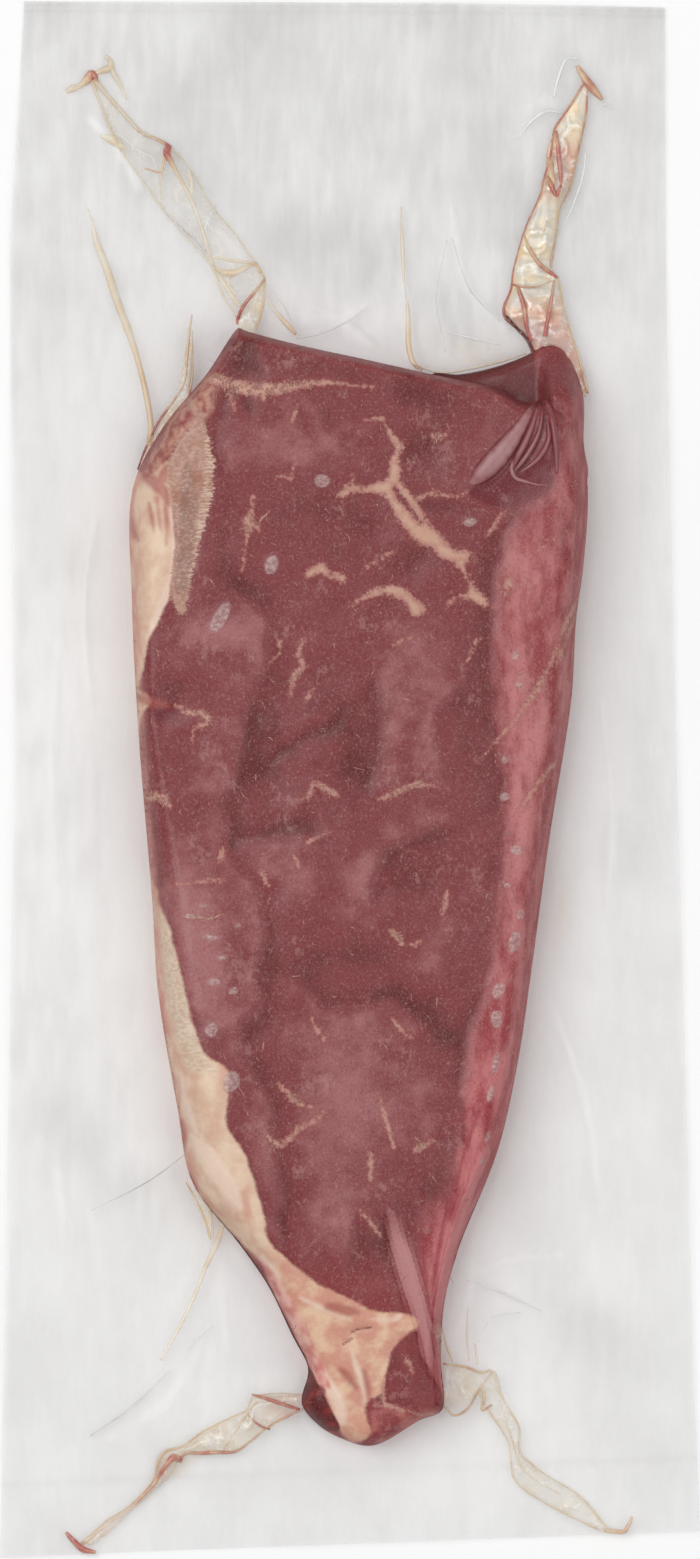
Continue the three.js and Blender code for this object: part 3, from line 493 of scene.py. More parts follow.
SEAMS = [
    ([(92, 80, 0.45), (99, 101, 0.38), (110, 129, 0.3), (122, 152, 0.3), (138, 175, 0.22), (161, 207, 0.3),
     (181, 232, 0.22), (198, 250, 0.3), (214, 269, 0.38), (218, 285, 0.38), (227, 303, 0.3),
     (237, 318, 0.22)], 0.5, (0.3, 0.0, 0.15)),
    ([(94, 80, 0.75), (106, 94, 0.6), (122, 112, 0.52), (142, 133, 0.45), (156, 139, 0.38),
     (169, 146, 0.45)], 0.7, (0.35, 0.1, 0.9)),
    ([(169, 145, 0.75), (167, 154, 0.9), (171, 162, 0.68), (175, 170, 0.52), (184, 186, 0.45),
     (192, 202, 0.52), (200, 223, 0.45), (207, 246, 0.52), (214, 269, 0.6), (225, 285, 0.68),
     (234, 299, 0.52), (241, 308, 0.3)], 0.9, (0.9, 0.15, 0.2)),
    ([(170, 147, 0.22), (184, 161, 0.22), (195, 175, 0.22), (207, 198, 0.22), (220, 216, 0.18),
     (234, 232, 0.22), (246, 250, 0.22), (255, 262, 0.3), (265, 279, 0.3)], 0.4, (0.2, 0.1, 0.3)),
    ([(188, 170, 0.38), (192, 184, 0.52), (191, 195, 0.3), (192, 202, 0.22)], 0.5, (0.0, 0.05, 0.1)),
    ([(101, 136, 0.45), (108, 138, 1.05), (116, 142, 1.2), (122, 147, 0.6), (129, 149, 0.3)], 0.4,
     (0.1, 0.3, 0.1)),
    ([(145, 169, 0.22), (161, 172, 0.3), (164, 161, 0.3), (167, 153, 0.3)], 0.4, (0.5, 0.4, 0.6)),
    ([(161, 173, 0.22), (160, 186, 0.18), (162, 200, 0.22)], 0.4, (0.2, 0.1, 0.2)),
    ([(211, 257, 0.3), (232, 261, 0.38), (255, 265, 0.38), (261, 273, 0.45)], 0.5, (0.2, 0.3, 0.45)),
    ([(216, 269, 0.45), (230, 274, 0.9), (250, 266, 0.52), (257, 263, 0.3)], 0.6, (0.25, 0.4, 0.3)),
    ([(230, 274, 0.45), (228, 283, 0.45), (236, 296, 0.45)], 0.5, (0.35, 0.2, 0.25)),
    ([(265, 279, 0.22), (255, 292, 0.38), (244, 306, 0.45), (238, 319, 0.45), (237, 325, 0.22)], 0.7,
     (0.5, 0.9, 1.0)),
    ([(265, 279, 0.22), (264, 300, 0.38), (260, 316, 0.38), (256, 330, 0.22)], 0.6, (0.3, 0.4, 0.35)),
    ([(264, 296, 0.22), (280, 317, 0.52), (290, 328, 0.68), (296, 335, 0.3)], 0.5, (0.15, 0.3, 0.7)),
    ([(66, 92, 0.45), (72, 89, 0.9), (80, 86, 0.68), (87, 80, 1.05), (92, 75, 1.2), (97, 82, 0.45)], 0.7,
     (0.2, 0.5, 0.95)),
    ([(94, 74, 0.38), (102, 71, 0.75), (110, 68, 0.9), (111, 62, 0.6), (105, 56, 0.38)], 0.6,
     (0.3, 0.3, 0.1)),
    ([(111, 67, 0.6), (115, 76, 0.75), (120, 85, 0.52), (126, 100, 0.3)], 0.5, (0.35, 0.35, 0.1)),
    ([(88, 208, 0.18), (93, 226, 0.45), (96, 240, 0.83), (106, 267, 0.98), (117, 301, 0.98),
     (129, 333, 0.9), (138, 361, 0.68), (147, 398, 0.75), (151, 425, 0.75), (150, 446, 0.9)], 0.7,
     (0.1, 0.3, 0.5)),
    ([(192, 315, 0.2), (189, 335, 0.4), (187, 360, 0.35), (184, 385, 0.25), (176, 398, 0.3),
     (160, 420, 0.3), (146, 448, 0.3), (138, 470, 0.2)], 0.7, (0.4, 0.5, 1.3)),
    ([(193, 345, 0.15), (192, 380, 0.25), (188, 402, 0.35), (184, 420, 0.3), (168, 440, 0.2)], 0.7,
     (0.3, 0.6, 0.7)),
    ([(577, 66, 0.5), (583, 76, 0.9), (590, 86, 1.1), (597, 94, 0.8), (602, 100, 0.4)], 0.8,
     (0.6, 0.8, 0.75)),
    ([(584, 83, 0.3), (574, 99, 0.25), (564, 115, 0.3), (555, 129, 0.35), (550, 158, 0.3), (543, 182, 0.3),
     (541, 193, 0.25), (527, 225, 0.25), (519, 249, 0.2), (513, 273, 0.25), (511, 289, 0.3),
     (504, 308, 0.4), (505, 317, 0.45), (516, 328, 0.4), (527, 338, 0.35)], 0.8, (0.65, 0.85, 1.2)),
    ([(587, 96, 0.2), (586, 113, 0.25), (578, 153, 0.2), (570, 188, 0.25), (560, 209, 0.2), (556, 236, 0.2),
     (551, 268, 0.2)], 0.6, (0.75, 0.6, 0.6)),
    ([(558, 277, 0.2), (562, 297, 0.2), (570, 330, 0.2), (578, 356, 0.3), (588, 394, 0.35)], 0.6,
     (0.3, 0.3, 0.6)),
    ([(556, 131, 0.25), (558, 150, 0.55), (560, 170, 0.6), (561, 188, 0.25)], 0.7, (0.7, 0.75, 0.75)),
    ([(552, 140, 0.4), (550, 158, 1.0), (551, 172, 0.8), (554, 184, 0.3)], 0.5, (0.45, 0.55, 0.5)),
    ([(546, 176, 0.4), (551, 186, 0.7), (556, 196, 0.35), (560, 186, 0.2)], 0.7, (0.7, 0.75, 0.7)),
    ([(560, 188, 0.2), (557, 210, 0.2), (556, 230, 0.2)], 0.5, (0.6, 0.45, 0.4)),
    ([(547, 220, 0.15), (542, 236, 0.2)], 0.4, (0.3, 0.4, 0.3)),
    ([(524, 235, 0.25), (529, 249, 0.45), (540, 265, 0.55), (550, 273, 0.55), (557, 278, 0.4)], 0.9,
     (0.5, 0.75, 0.85)),
    ([(511, 284, 0.25), (521, 287, 0.3), (538, 287, 0.2), (551, 281, 0.15)], 0.6, (0.9, 0.6, 0.5)),
    ([(517, 286, 0.4), (524, 308, 0.65), (526, 326, 0.5), (531, 342, 0.4)], 0.9, (0.8, 0.75, 1.0)),
    ([(554, 281, 0.25), (550, 308, 0.45), (546, 328, 0.5), (545, 337, 0.6)], 0.8, (0.6, 0.8, 0.9)),
    ([(506, 316, 0.3), (516, 328, 0.4), (527, 340, 0.45), (533, 354, 0.5), (535, 372, 0.35)], 1.6,
     (1.4, 1.5, 1.3)),
    ([(573, 378, 0.2), (579, 387, 0.25), (586, 397, 0.25)], 1.0, (0.5, 0.4, 0.4)),
    ([(401, 207, 0.18), (401, 225, 0.22), (402, 238, 0.45), (403, 260, 0.54), (404, 281, 0.27),
     (406, 297, 0.18), (408, 312, 0.54), (409, 348, 0.72), (414, 364, 0.63), (422, 371, 0.36)], 0.6,
     (0.2, 0.3, 0.45)),
    ([(414, 365, 0.2), (440, 373, 0.35), (470, 369, 0.4), (500, 362, 0.35), (526, 354, 0.2)], 3.6,
     (0.3, 0.25, 0.35)),
    ([(252, 1394, 0.2), (263, 1397, 0.4), (273, 1400, 0.5), (285, 1404, 0.45), (300, 1409, 0.35)], 0.9,
     (0.8, 0.8, 1.0)),
    ([(252, 1395, 0.12), (278, 1393, 0.15), (306, 1394, 0.12)], 0.5, (0.6, 0.5, 0.6)),
    ([(252, 1397, 0.2), (247, 1409, 0.25), (231, 1417, 0.2), (205, 1430, 0.25), (182, 1446, 0.2),
     (166, 1451, 0.35), (159, 1459, 0.35), (153, 1480, 0.2), (129, 1506, 0.2), (106, 1521, 0.2),
     (90, 1536, 0.2)], 0.6, (0.3, 0.5, 0.35)),
    ([(298, 1410, 0.25), (268, 1427, 0.25), (252, 1440, 0.25), (236, 1451, 0.35), (216, 1452, 0.5),
     (200, 1453, 0.45), (187, 1453, 0.35), (179, 1459, 0.3)], 0.9, (0.6, 0.65, 0.75)),
    ([(223, 1451, 0.15), (236, 1430, 0.25), (247, 1414, 0.3), (257, 1401, 0.2)], 0.6, (0.3, 0.45, 0.4)),
    ([(247, 1413, 0.2), (260, 1425, 0.3), (270, 1429, 0.3)], 0.6, (0.6, 0.7, 0.8)),
    ([(182, 1461, 0.6), (174, 1457, 0.9), (168, 1463, 0.7), (160, 1474, 0.5), (153, 1485, 0.5),
     (141, 1497, 0.45), (132, 1507, 0.3)], 0.9, (0.65, 0.75, 0.6)),
    ([(132, 1507, 0.2), (110, 1522, 0.25), (92, 1535, 0.35), (82, 1544, 0.5)], 0.7, (0.5, 0.35, 0.4)),
    ([(66, 1532, 0.4), (74, 1541, 0.7), (83, 1549, 0.8), (96, 1552, 0.4)], 0.8, (0.7, 0.8, 0.7)),
    ([(443, 1363, 0.2), (464, 1366, 0.3), (482, 1372, 0.3), (490, 1369, 0.2)], 0.8, (0.6, 0.5, 0.4)),
    ([(444, 1406, 0.25), (454, 1415, 0.25), (467, 1409, 0.3), (477, 1393, 0.25), (482, 1385, 0.2),
     (492, 1371, 0.25)], 0.8, (0.5, 0.6, 0.4)),
    ([(482, 1385, 0.3), (484, 1398, 0.5), (482, 1410, 0.3), (492, 1404, 0.2)], 0.7, (0.3, 0.5, 0.7)),
    ([(492, 1370, 0.3), (498, 1388, 0.3), (508, 1408, 0.2), (519, 1427, 0.25), (520, 1452, 0.3),
     (530, 1462, 0.2), (545, 1474, 0.2), (580, 1496, 0.2), (608, 1528, 0.25)], 0.6, (0.25, 0.35, 0.3)),
    ([(487, 1408, 0.25), (508, 1442, 0.2), (515, 1480, 0.25), (547, 1504, 0.2), (598, 1529, 0.25)], 0.6,
     (0.3, 0.25, 0.35)),
    ([(500, 1400, 0.2), (512, 1440, 0.25), (524, 1470, 0.2), (560, 1494, 0.2)], 0.5, (0.1, 0.25, 0.15)),
    ([(603, 1530, 0.5), (614, 1531, 0.6), (624, 1531, 0.6), (629, 1524, 0.5), (632, 1516, 0.3)], 0.8,
     (0.5, 0.6, 0.45)),
    ([(443, 1328, 0.3), (448, 1349, 0.35), (453, 1362, 0.2)], 0.7, (0.15, 0.3, 0.4)),
    ([(468, 1307, 0.15), (467, 1333, 0.25), (469, 1360, 0.2)], 0.5, (0.05, 0.15, 0.2)),
    ([(475, 1343, 0.2), (477, 1364, 0.3)], 0.5, (0.2, 0.25, 0.3)),
    ([(224, 1222, 0.49), (216, 1245, 0.77), (205, 1268, 0.56), (196, 1292, 0.56), (184, 1318, 0.49),
     (172, 1340, 0.42), (161, 1360, 0.42)], 0.6, (0.3, 0.2, 0.08)),
    ([(186, 1182, 0.2), (196, 1200, 0.3), (205, 1220, 0.3), (211, 1240, 0.2)], 0.6, (0.5, 0.3, 0.2)),
    ([(200, 1188, 0.2), (209, 1206, 0.3), (213, 1222, 0.25), (213, 1238, 0.2)], 0.6, (0.4, 0.3, 0.2)),
]

# Sharp creases of clear film, in rows like those of the seams: 0 is white and more is grey

GREY_SEAMS = [
    ([(296, 339, 0.2), (322, 333, 0.3), (350, 320, 0.25), (366, 308, 0.12)], 0.4, (0.05, 0.1, 0.0)),
    ([(517, 139, 0.15), (532, 121, 0.35), (548, 111, 0.45), (560, 113, 0.2)], 0.5, (0.0, 0.0, 0.0)),
    ([(553, 99, 0.2), (559, 76, 0.4), (567, 59, 0.4), (578, 59, 0.3)], 0.5, (0.0, 0.0, 0.0)),
    ([(598, 108, 0.15), (606, 104, 0.3), (610, 110, 0.15)], 0.4, (0.0, 0.0, 0.0)),
    ([(586, 150, 0.15), (583, 175, 0.3), (575, 200, 0.25), (566, 222, 0.12)], 0.4, (0.0, 0.0, 0.0)),
    ([(440, 330, 0.15), (470, 338, 0.3), (500, 345, 0.15)], 0.3, (0.0, 0.0, 0.0)),
    ([(121, 111, 0.15), (140, 130, 0.2), (156, 140, 0.12)], 0.4, (0.0, 0.05, 0.0)),
    ([(116, 132, 0.12), (140, 152, 0.2), (152, 158, 0.2), (158, 172, 0.12)], 0.4, (0.0, 0.0, 0.0)),
    ([(162, 210, 0.12), (190, 236, 0.2), (210, 256, 0.15)], 0.5, (0.1, 0.2, 0.1)),
    ([(168, 190, 0.12), (190, 226, 0.2), (206, 252, 0.15)], 0.6, (0.0, 0.0, 0.0)),
    ([(216, 206, 0.12), (208, 222, 0.3), (204, 234, 0.12)], 0.6, (0.0, 0.0, 0.0)),
    ([(190, 1150, 0.1), (150, 1180, 0.15), (92, 1210, 0.1)], 0.3, (0.1, 0.2, 0.1)),
    ([(214, 1325, 0.1), (196, 1340, 0.15), (187, 1351, 0.1)], 0.3, (0.0, 0.0, 0.0)),
    ([(90, 1436, 0.1), (130, 1408, 0.2), (170, 1370, 0.12)], 0.3, (0.1, 0.15, 0.1)),
    ([(268, 284, 0.1), (286, 310, 0.15), (296, 333, 0.15)], 0.4, (0.0, 0.1, 0.1)),
    ([(452, 238, 0.1), (470, 290, 0.15), (500, 322, 0.12)], 0.3, (0.1, 0.15, 0.1)),
    ([(447, 240, 0.1), (436, 300, 0.15), (446, 352, 0.1)], 0.3, (0.0, 0.05, 0.0)),
    ([(467, 1280, 0.1), (500, 1292, 0.2), (540, 1310, 0.1)], 0.3, (0.0, 0.1, 0.0)),
    ([(478, 1342, 0.1), (492, 1318, 0.2), (520, 1312, 0.1)], 0.3, (0.0, 0.0, 0.0)),
]
SEAM_SLIMNESS = 0.95
WELL_INSIDE = 3.0  # the film is cut off this far inside the steak's silhouette

# How fine the meshes are

SLAB_GRID = (185, 460)
FLAP_GRID = (75, 60)
BASE_STEP = 5
RING_SHARES = (0.04, 0.14, 0.32, 0.6, 1)
TOP_FILM_GRID = (220, 490)
BOTTOM_FILM_GRID = (110, 245)
CHANNEL_GRID = (21, 110)
TUBE_SIDES = 14
MARBLING_SIDES = 6
THINNEST = 0.03
NOISE_CELLS = 64
NOISE_ORIGIN = 1000  # in cells, which keeps every place of the bag on its positive side

rng = np.random.default_rng(FLECK_SEED)

# Lines, areas and noise


def spots(pixels):
    """Places in mm of rows that start with a pixel's x and y; any further columns are kept."""
    rows = np.array(pixels, float)
    rows[:, 0] = (rows[:, 0] - PHOTO_PIXELS[0] / 2) * MM_PER_PIXEL
    rows[:, 1] = (PHOTO_PIXELS[1] / 2 - rows[:, 1]) * MM_PER_PIXEL
    return rows


def heights_of(*pixel_rows):
    """The places in y of some rows of the photograph."""
    return spots([(0, row) for row in pixel_rows])[:, 1]


def smooth_line(points, per_span=12, closed=False):
    """Samples of a centripetal Catmull-Rom curve through the points, in all their columns."""
    p = np.array(points, float)
    p = np.vstack([p[-1:], p, p[:2]]) if closed else np.vstack([2 * p[0] - p[1], p, 2 * p[-1] - p[-2]])
    t = np.linspace(0, 1, per_span, endpoint=False)[:, None]
    spans = []
    for a, b, c, d in zip(p, p[1:], p[2:], p[3:]):
        before, here, after = (max(np.linalg.norm(q - r), 1e-6) ** 0.5 for q, r in ((b, a), (c, b), (d, c)))
        start = ((b - a) / before - (c - a) / (before + here) + (c - b) / here) * here
        end = ((c - b) / here - (d - b) / (here + after) + (d - c) / after) * here
        cubic = 2 * (b - c) + start + end
        spans.append(b + start * t + (3 * (c - b) - 2 * start - end) * t**2 + cubic * t**3)
    return np.vstack(spans if closed else spans + [p[-2:-1]])


def respace(line, shares):
    """The points of a line at the given shares of its length, in all its columns."""
    along = np.concatenate([[0], np.cumsum(np.linalg.norm(np.diff(line[:, :2], axis=0), axis=1))])
    return np.column_stack([np.interp(shares, along / along[-1], column) for column in line.T])


def crowded(count, reach, crowding=1.6, samples=2001):
    """Shares from 0 to 1 that lie closer together within `reach` of either end."""
    s = np.linspace(0, 1, samples)
    density = 1 + crowding * (np.exp(-s / reach) + np.exp((s - 1) / reach))
    total = np.concatenate([[0], np.cumsum((density[1:] + density[:-1]) / 2)])
    return np.interp(np.linspace(0, 1, count + 1), total / total[-1], s)


def smoothstep(low, high, value):
    """A smooth rise from 0 to 1 as the value goes from low to high."""
    share = np.clip((value - low) / (high - low), 0, 1)
    return share * share * (3 - 2 * share)


def rounded_rise(share, fullness=2):
    """A rounded rise from 0 at the outline to 1: a quarter circle, or fuller, so that it meets the face smoothly."""
    return np.sqrt(1 - (1 - np.clip(share, 0, 1)) ** fullness)


def shoulder_height(top, depth, shoulder):
    """Height of a rounded shoulder between the weld and the top of the meat."""
    return WELD_HEIGHT + (top - WELD_HEIGHT) * rounded_rise(depth / shoulder, 2.7)


def lumps(x, y, size, seed):
    """Smooth noise from -1 to 1, with lumps about `size` mm across, alike on every run."""
    cells = np.random.default_rng(seed).uniform(-1, 1, (NOISE_CELLS, NOISE_CELLS))
    u, v = x / size + NOISE_ORIGIN, y / size + NOISE_ORIGIN
    i, j = np.floor(u).astype(int), np.floor(v).astype(int)
    across, up = smoothstep(0, 1, u - i), smoothstep(0, 1, v - j)

    def cell(right, above):
        return cells[(i + right) % NOISE_CELLS, (j + above) % NOISE_CELLS]

    low = cell(0, 0) * (1 - across) + cell(1, 0) * across
    high = cell(0, 1) * (1 - across) + cell(1, 1) * across
    return low * (1 - up) + high * up


def lump_layers(x, y, layers):
    """Sum of layers of lumps, given as height, size and seed."""
    return sum(height * lumps(x, y, size, seed) for height, size, seed in layers)


def close_to(line, x, y, window):
    """Indices of the places that lie within a window round a line's box."""
    low, high = line[:, :2].min(axis=0) - window, line[:, :2].max(axis=0) + window
    return np.flatnonzero((x > low[0]) & (x < high[0]) & (y > low[1]) & (y < high[1]))


def from_segment(a, b, x, y):
    """Share of the way from a to b that is nearest to each place, and the step from there to the place."""
    along = b - a
    share = ((x - a[0]) * along[0] + (y - a[1]) * along[1]) / max(along[0] ** 2 + along[1] ** 2, 1e-9)
    share = np.clip(share, 0, 1)
    return share, x - a[0] - share * along[0], y - a[1] - share * along[1]


def gap_to_line(line, x, y, window=8.0):
    """How far each place is outside a line with half widths, in mm: negative inside, `window` at most."""
    best = np.full(x.shape, window)
    near = close_to(line, x, y, window)
    gap, near_x, near_y = best[near], x[near], y[near]
    for a, b in zip(line, line[1:]):
        share, off_x, off_y = from_segment(a, b, near_x, near_y)
        gap = np.minimum(gap, np.hypot(off_x, off_y) - a[2] - share * (b[2] - a[2]))
    best[near] = gap
    return best


def signed_gap(path, x, y, window, least=0.1):
    """Distance of each place to a path, positive on its left, and the path's third column there."""
    gap, side, third = np.full(x.shape, window), np.ones(x.shape), np.full(x.shape, least)
    near = close_to(path, x, y, window)
    near_x, near_y = x[near], y[near]
    for a, b in zip(path, path[1:]):
        along = b - a
        share, off_x, off_y = from_segment(a, b, near_x, near_y)
        apart = np.hypot(off_x, off_y)
        closer = apart < gap[near]
        index = near[closer]
        gap[index] = apart[closer]
        side[index] = np.sign(along[0] * off_y - along[1] * off_x)[closer]
        third[index] = np.maximum(a[2] + share * along[2], least)[closer]
    return gap * side, third


def nearest_on(line, x, y):
    """The nearest point of a polyline to each place."""
    best_gap = np.full(x.shape, np.inf)
    best = np.zeros((len(x), 2))
    for a, b in zip(np.array(line, float), np.array(line[1:], float)):
        _, off_x, off_y = from_segment(a, b, x, y)
        gap = np.hypot(off_x, off_y)
        closer = gap < best_gap
        best[closer] = np.column_stack([x - off_x, y - off_y])[closer]
        best_gap[closer] = gap[closer]
    return best


def is_inside(ring, x, y):
    """Whether each place lies inside a closed ring of points."""
    inside = np.zeros(x.shape, bool)
    for a, b in zip(ring, np.roll(ring, -1, axis=0)):
        crosses = (a[1] > y) != (b[1] > y)
        rise = b[1] - a[1]
        inside ^= crosses & (x < a[0] + (b[0] - a[0]) * (y - a[1]) / (rise if rise else 1))
    return inside


def depth_in_area(pixels, x, y, window=8.0):
    """How far each place is inside an area with a smooth outline in pixels: negative outside."""
    ring = smooth_line([(*place[:2], 0) for place in spots(pixels)], 4, closed=True)
    gap = gap_to_line(np.vstack([ring, ring[:1]]), x, y, window)
    return np.where(is_inside(ring, x, y), gap, -gap)


def depth_in_lines(lines, x, y, window=3.0, per_span=6):
    """How far each place is inside the nearest of some lines in pixels: negative outside."""
    depth = np.full(x.shape, -window)
    for line in lines:
        depth = np.maximum(depth, -gap_to_line(smooth_line(spots(line), per_span), x, y, window))
    return depth


def ellipse_axes(ellipse, x, y):
    """Each place in an ellipse's own axes, where its edge is one away from its middle."""
    middle_x, middle_y, half_length, half_width, turn = ellipse
    angle = np.radians(turn)
    u = ((x - middle_x) * np.cos(angle) + (y - middle_y) * np.sin(angle)) / half_length
    v = ((y - middle_y) * np.cos(angle) - (x - middle_x) * np.sin(angle)) / half_width
    return u, v


def depth_in_ellipses(rows, x, y, window=4.0):
    """How far each place is inside the nearest of some ellipses: negative outside."""
    best = np.full(x.shape, window)
    for ellipse in spots(rows):
        near = np.flatnonzero(np.hypot(x - ellipse[0], y - ellipse[1]) < ellipse[2] + window)
        u, v = ellipse_axes(ellipse, x[near], y[near])
        best[near] = np.minimum(best[near], (np.hypot(u, v) - 1) * ellipse[3])
    return -best


class Outline:
    """A smooth closed outline with a shoulder width at each point."""

    def __init__(self, points):
        self.line = smooth_line(points, 24, closed=True)
        self.tree = kdtree.KDTree(len(self.line))
        for i, (x, y, _) in enumerate(self.line):
            self.tree.insert((x, y, 0), i)
        self.tree.balance()

    def nearest(self, x, y):
        """Distance to the outline and the shoulder width there."""
        found = [self.tree.find((a, b, 0)) for a, b in zip(x, y)]
        index = np.array([hit[1] for hit in found])
        return np.array([hit[2] for hit in found]), self.line[index, 2]

    def distance(self, x, y):
        """Distance to the outline: negative inside it."""
        distance, _ = self.nearest(x, y)
        return np.where(is_inside(self.line, x, y), -distance, distance)

    def sides(self, corners):
        """The outline cut into four sides at the points nearest to its corners, clockwise."""
        cuts = [self.tree.find((*corner, 0))[1] for corner in corners]
        count = len(self.line)
        parts = []
        for start, end in zip(cuts, cuts[1:] + cuts[:1]):
            steps = (end - start) % count
            parts.append(self.line[(start + np.arange(steps + 1)) % count])
        return parts


slab_outline = Outline(SLAB_OUTLINE)
silhouette = Outline(SILHOUETTE)

# Meshes


def patch(top, right, bottom, left, u, v):
    """A grid of x, y between four sides, with rows from the top down and columns from left to right."""
    u, v = u[None, :, None], v[:, None, None]
    top, bottom, left, right = (side[:, :2] for side in (top, bottom, left, right))
    across = (1 - v) * top[None] + v * bottom[None]
    down = (1 - u) * left[:, None] + u * right[:, None]
    corners = (1 - v) * ((1 - u) * top[0] + u * top[-1]) + v * ((1 - u) * bottom[0] + u * bottom[-1])
    return (across + down - corners).reshape(-1, 2)


def border(rows, columns):
    """Indices round the edge of a grid, clockwise from its first corner."""
    top = np.arange(columns)
    right = np.arange(1, rows) * columns + columns - 1
    bottom = (rows - 1) * columns + np.arange(columns - 2, -1, -1)
    left = np.arange(rows - 2, 0, -1) * columns
    return np.concatenate([top, right, bottom, left])


def grid_faces(rows, columns, first=0):
    """Quads of a grid whose points are numbered row by row."""
    i = np.arange(rows - 1)[:, None] * columns + np.arange(columns - 1) + first
    return np.stack([i, i + 1, i + columns + 1, i + columns], axis=-1).reshape(-1, 4).tolist()


def band_faces(loop, following):
    """Quads between two closed loops of points."""
    return np.stack([loop, following, np.roll(following, -1), np.roll(loop, -1)], axis=1).tolist()


def make_object(name, places, faces, fields, material, replaced):
    """A smooth mesh piece, given in mm, that rides on the root body and stands for a node."""
    mesh = bpy.data.meshes.new(name)
    mesh.from_pydata((np.asarray(places) * MM).tolist(), [], faces)
    for key, values in fields.items():
        mesh.attributes.new(key, "FLOAT", "POINT").data.foreach_set("value", np.asarray(values, np.float32))
    shape = bmesh.new()
    shape.from_mesh(mesh)
    bmesh.ops.recalc_face_normals(shape, faces=shape.faces)
    shape.to_mesh(mesh)
    shape.free()
    mesh.polygons.foreach_set("use_smooth", [True] * len(mesh.polygons))
    mesh.materials.append(material)
    mesh.update()
    piece = bpy.data.objects.new(name, mesh)
    bpy.context.scene.collection.objects.link(piece)
    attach(piece, "root")
    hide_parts(replaced)
    return piece


def tubes(name, lines, ground, sides, material, replaced):
    """Closed tapered tubes along rows of x, y and half width, each with a rise and three strengths along it."""
    turns = np.linspace(0, 2 * np.pi, sides, endpoint=False)
    bulge = np.where(np.sin(turns) > 0, np.sin(turns), 0.5 * np.sin(turns))
    heights = ground(*np.vstack([path for path, _, _ in lines])[:, :2].T)
    loop = np.arange(sides)
    places, faces, strengths = [], [], []
    taken = 0
    for path, rise, strength in lines:
        steps = len(path)
        along = np.gradient(path[:, :2], axis=0)
        across = np.column_stack([-along[:, 1], along[:, 0]]) / np.linalg.norm(along, axis=1)[:, None]
        half_width = np.maximum(path[:, 2], THINNEST)
        tall = rise * half_width / half_width.max()
        ring = path[:, None, :2] + across[:, None] * (half_width[:, None] * np.cos(turns))[..., None]
        z = heights[taken:taken + steps, None] + tall[:, None] * bulge
        places.append(np.dstack([ring, np.maximum(z, 0.02)]).reshape(-1, 3))
        first = taken * sides
        for k in range(steps - 1):
            a = first + k * sides + loop
            faces += np.stack([a, np.roll(a, -1), np.roll(a, -1) + sides, a + sides], axis=1).tolist()
        faces.append((first + loop[::-1]).tolist())
        faces.append((first + (steps - 1) * sides + loop).tolist())
        strengths.append(np.repeat(np.interp(np.linspace(0, 1, steps), (0, 0.5, 1), strength), sides))
        taken += steps
    fields = {"strength": np.concatenate(strengths), "crest": np.tile(np.sin(turns), taken)}
    return make_object(name, np.vstack(places), faces, fields, material, replaced)


def folds_of_film(rows, slimness=1):
    """Smooth lines in mm for tubes, from rows of pixels with half widths."""
    return [(smooth_line(spots(line), 10) * (1, 1, slimness), rise, strength) for line, rise, strength in rows]


# Meat


def fold_rise(line, x, y, window=6.0):
    """Height, from 0 to 1, of a ridge along a line in pixels, in steps of a whole mm from its middle."""
    path = smooth_line(spots(line), 8)
    gap = np.trunc(gap_to_line(path * (1, 1, 0), x, y, window))
    index = np.flatnonzero(gap < window)
    apart = np.hypot(x[index, None] - path[None, :, 0], y[index, None] - path[None, :, 1])
    half_width = np.full(x.shape, path[0, 2])
    half_width[index] = path[apart.argmin(axis=1), 2]
    share = np.clip(gap / np.maximum(half_width, 0.05), 0, 1)
    return np.sqrt(half_width / path[:, 2].max()) * (1 - share**2) ** 0.8


def shade_at(x, y):
    """Sum of the soft dark and light patches of the lean: partly its own tone, partly painted shade of its hollows.
    """
    total = np.zeros(x.shape)
    for *ellipse, strength in spots(SHADES):
        u, v = ellipse_axes(ellipse, x, y)
        total += strength * np.exp(-(u * u + v * v))
    return total


def edge_shade(x, y):
    """Dark to the left of each shade line and a little light to its right, fading over the reach given along it."""
    bent_x = x + lump_layers(x, y, [(1.1, 5, 51), (0.4, 1.7, 52)])
    bent_y = y + lump_layers(x, y, [(1.1, 5, 53)])
    total = np.zeros(x.shape)
    for line in SHADE_EDGES:
        gap, reach = signed_gap(smooth_line(spots(line), 5), bent_x, bent_y, 14.0)
        dark = smoothstep(-1.8, 1.6, gap) * np.exp(-(np.maximum(gap, 0) / (1.3 * reach)) ** 2)
        light = smoothstep(1.8, -1.8, gap) * np.exp(-(np.minimum(gap, 0) / reach) ** 2)
        total += np.clip(reach / 3, 0, 1) * (0.4 * light - 0.85 * dark)
    return total


def fat_fields(x, y, ragged):
    """Depth in the fat, the veins and the dark muscle of the tail, none of which covers another."""
    broad = np.max([depth_in_area(area, x, y) for area in (FORK, CRESCENT, LEFT_BAR)], axis=0)
    vein = np.maximum(depth_in_lines(VEINS, x, y), np.minimum(broad, -depth_in_lines([SLIT], x, y) + 0.1))
    vein += smoothstep(-0.4, 0.8, vein) * lump_layers(x, y, [(0.35, 1.5, 13), (0.3, 2.9, 14)])
    fat = np.maximum(depth_in_area(SHOULDER_FAT, x, y), depth_in_area(SIDE_FAT, x, y)) + ragged
    dark = depth_in_area(DARK_MUSCLE, x, y) + 0.5 * ragged
    wedge = depth_in_area(DARK_WEDGE, x, y)
    return {"vein": vein, "fat": np.minimum(fat, -np.maximum(dark, wedge) + 0.1), "dark": dark, "wedge": wedge}


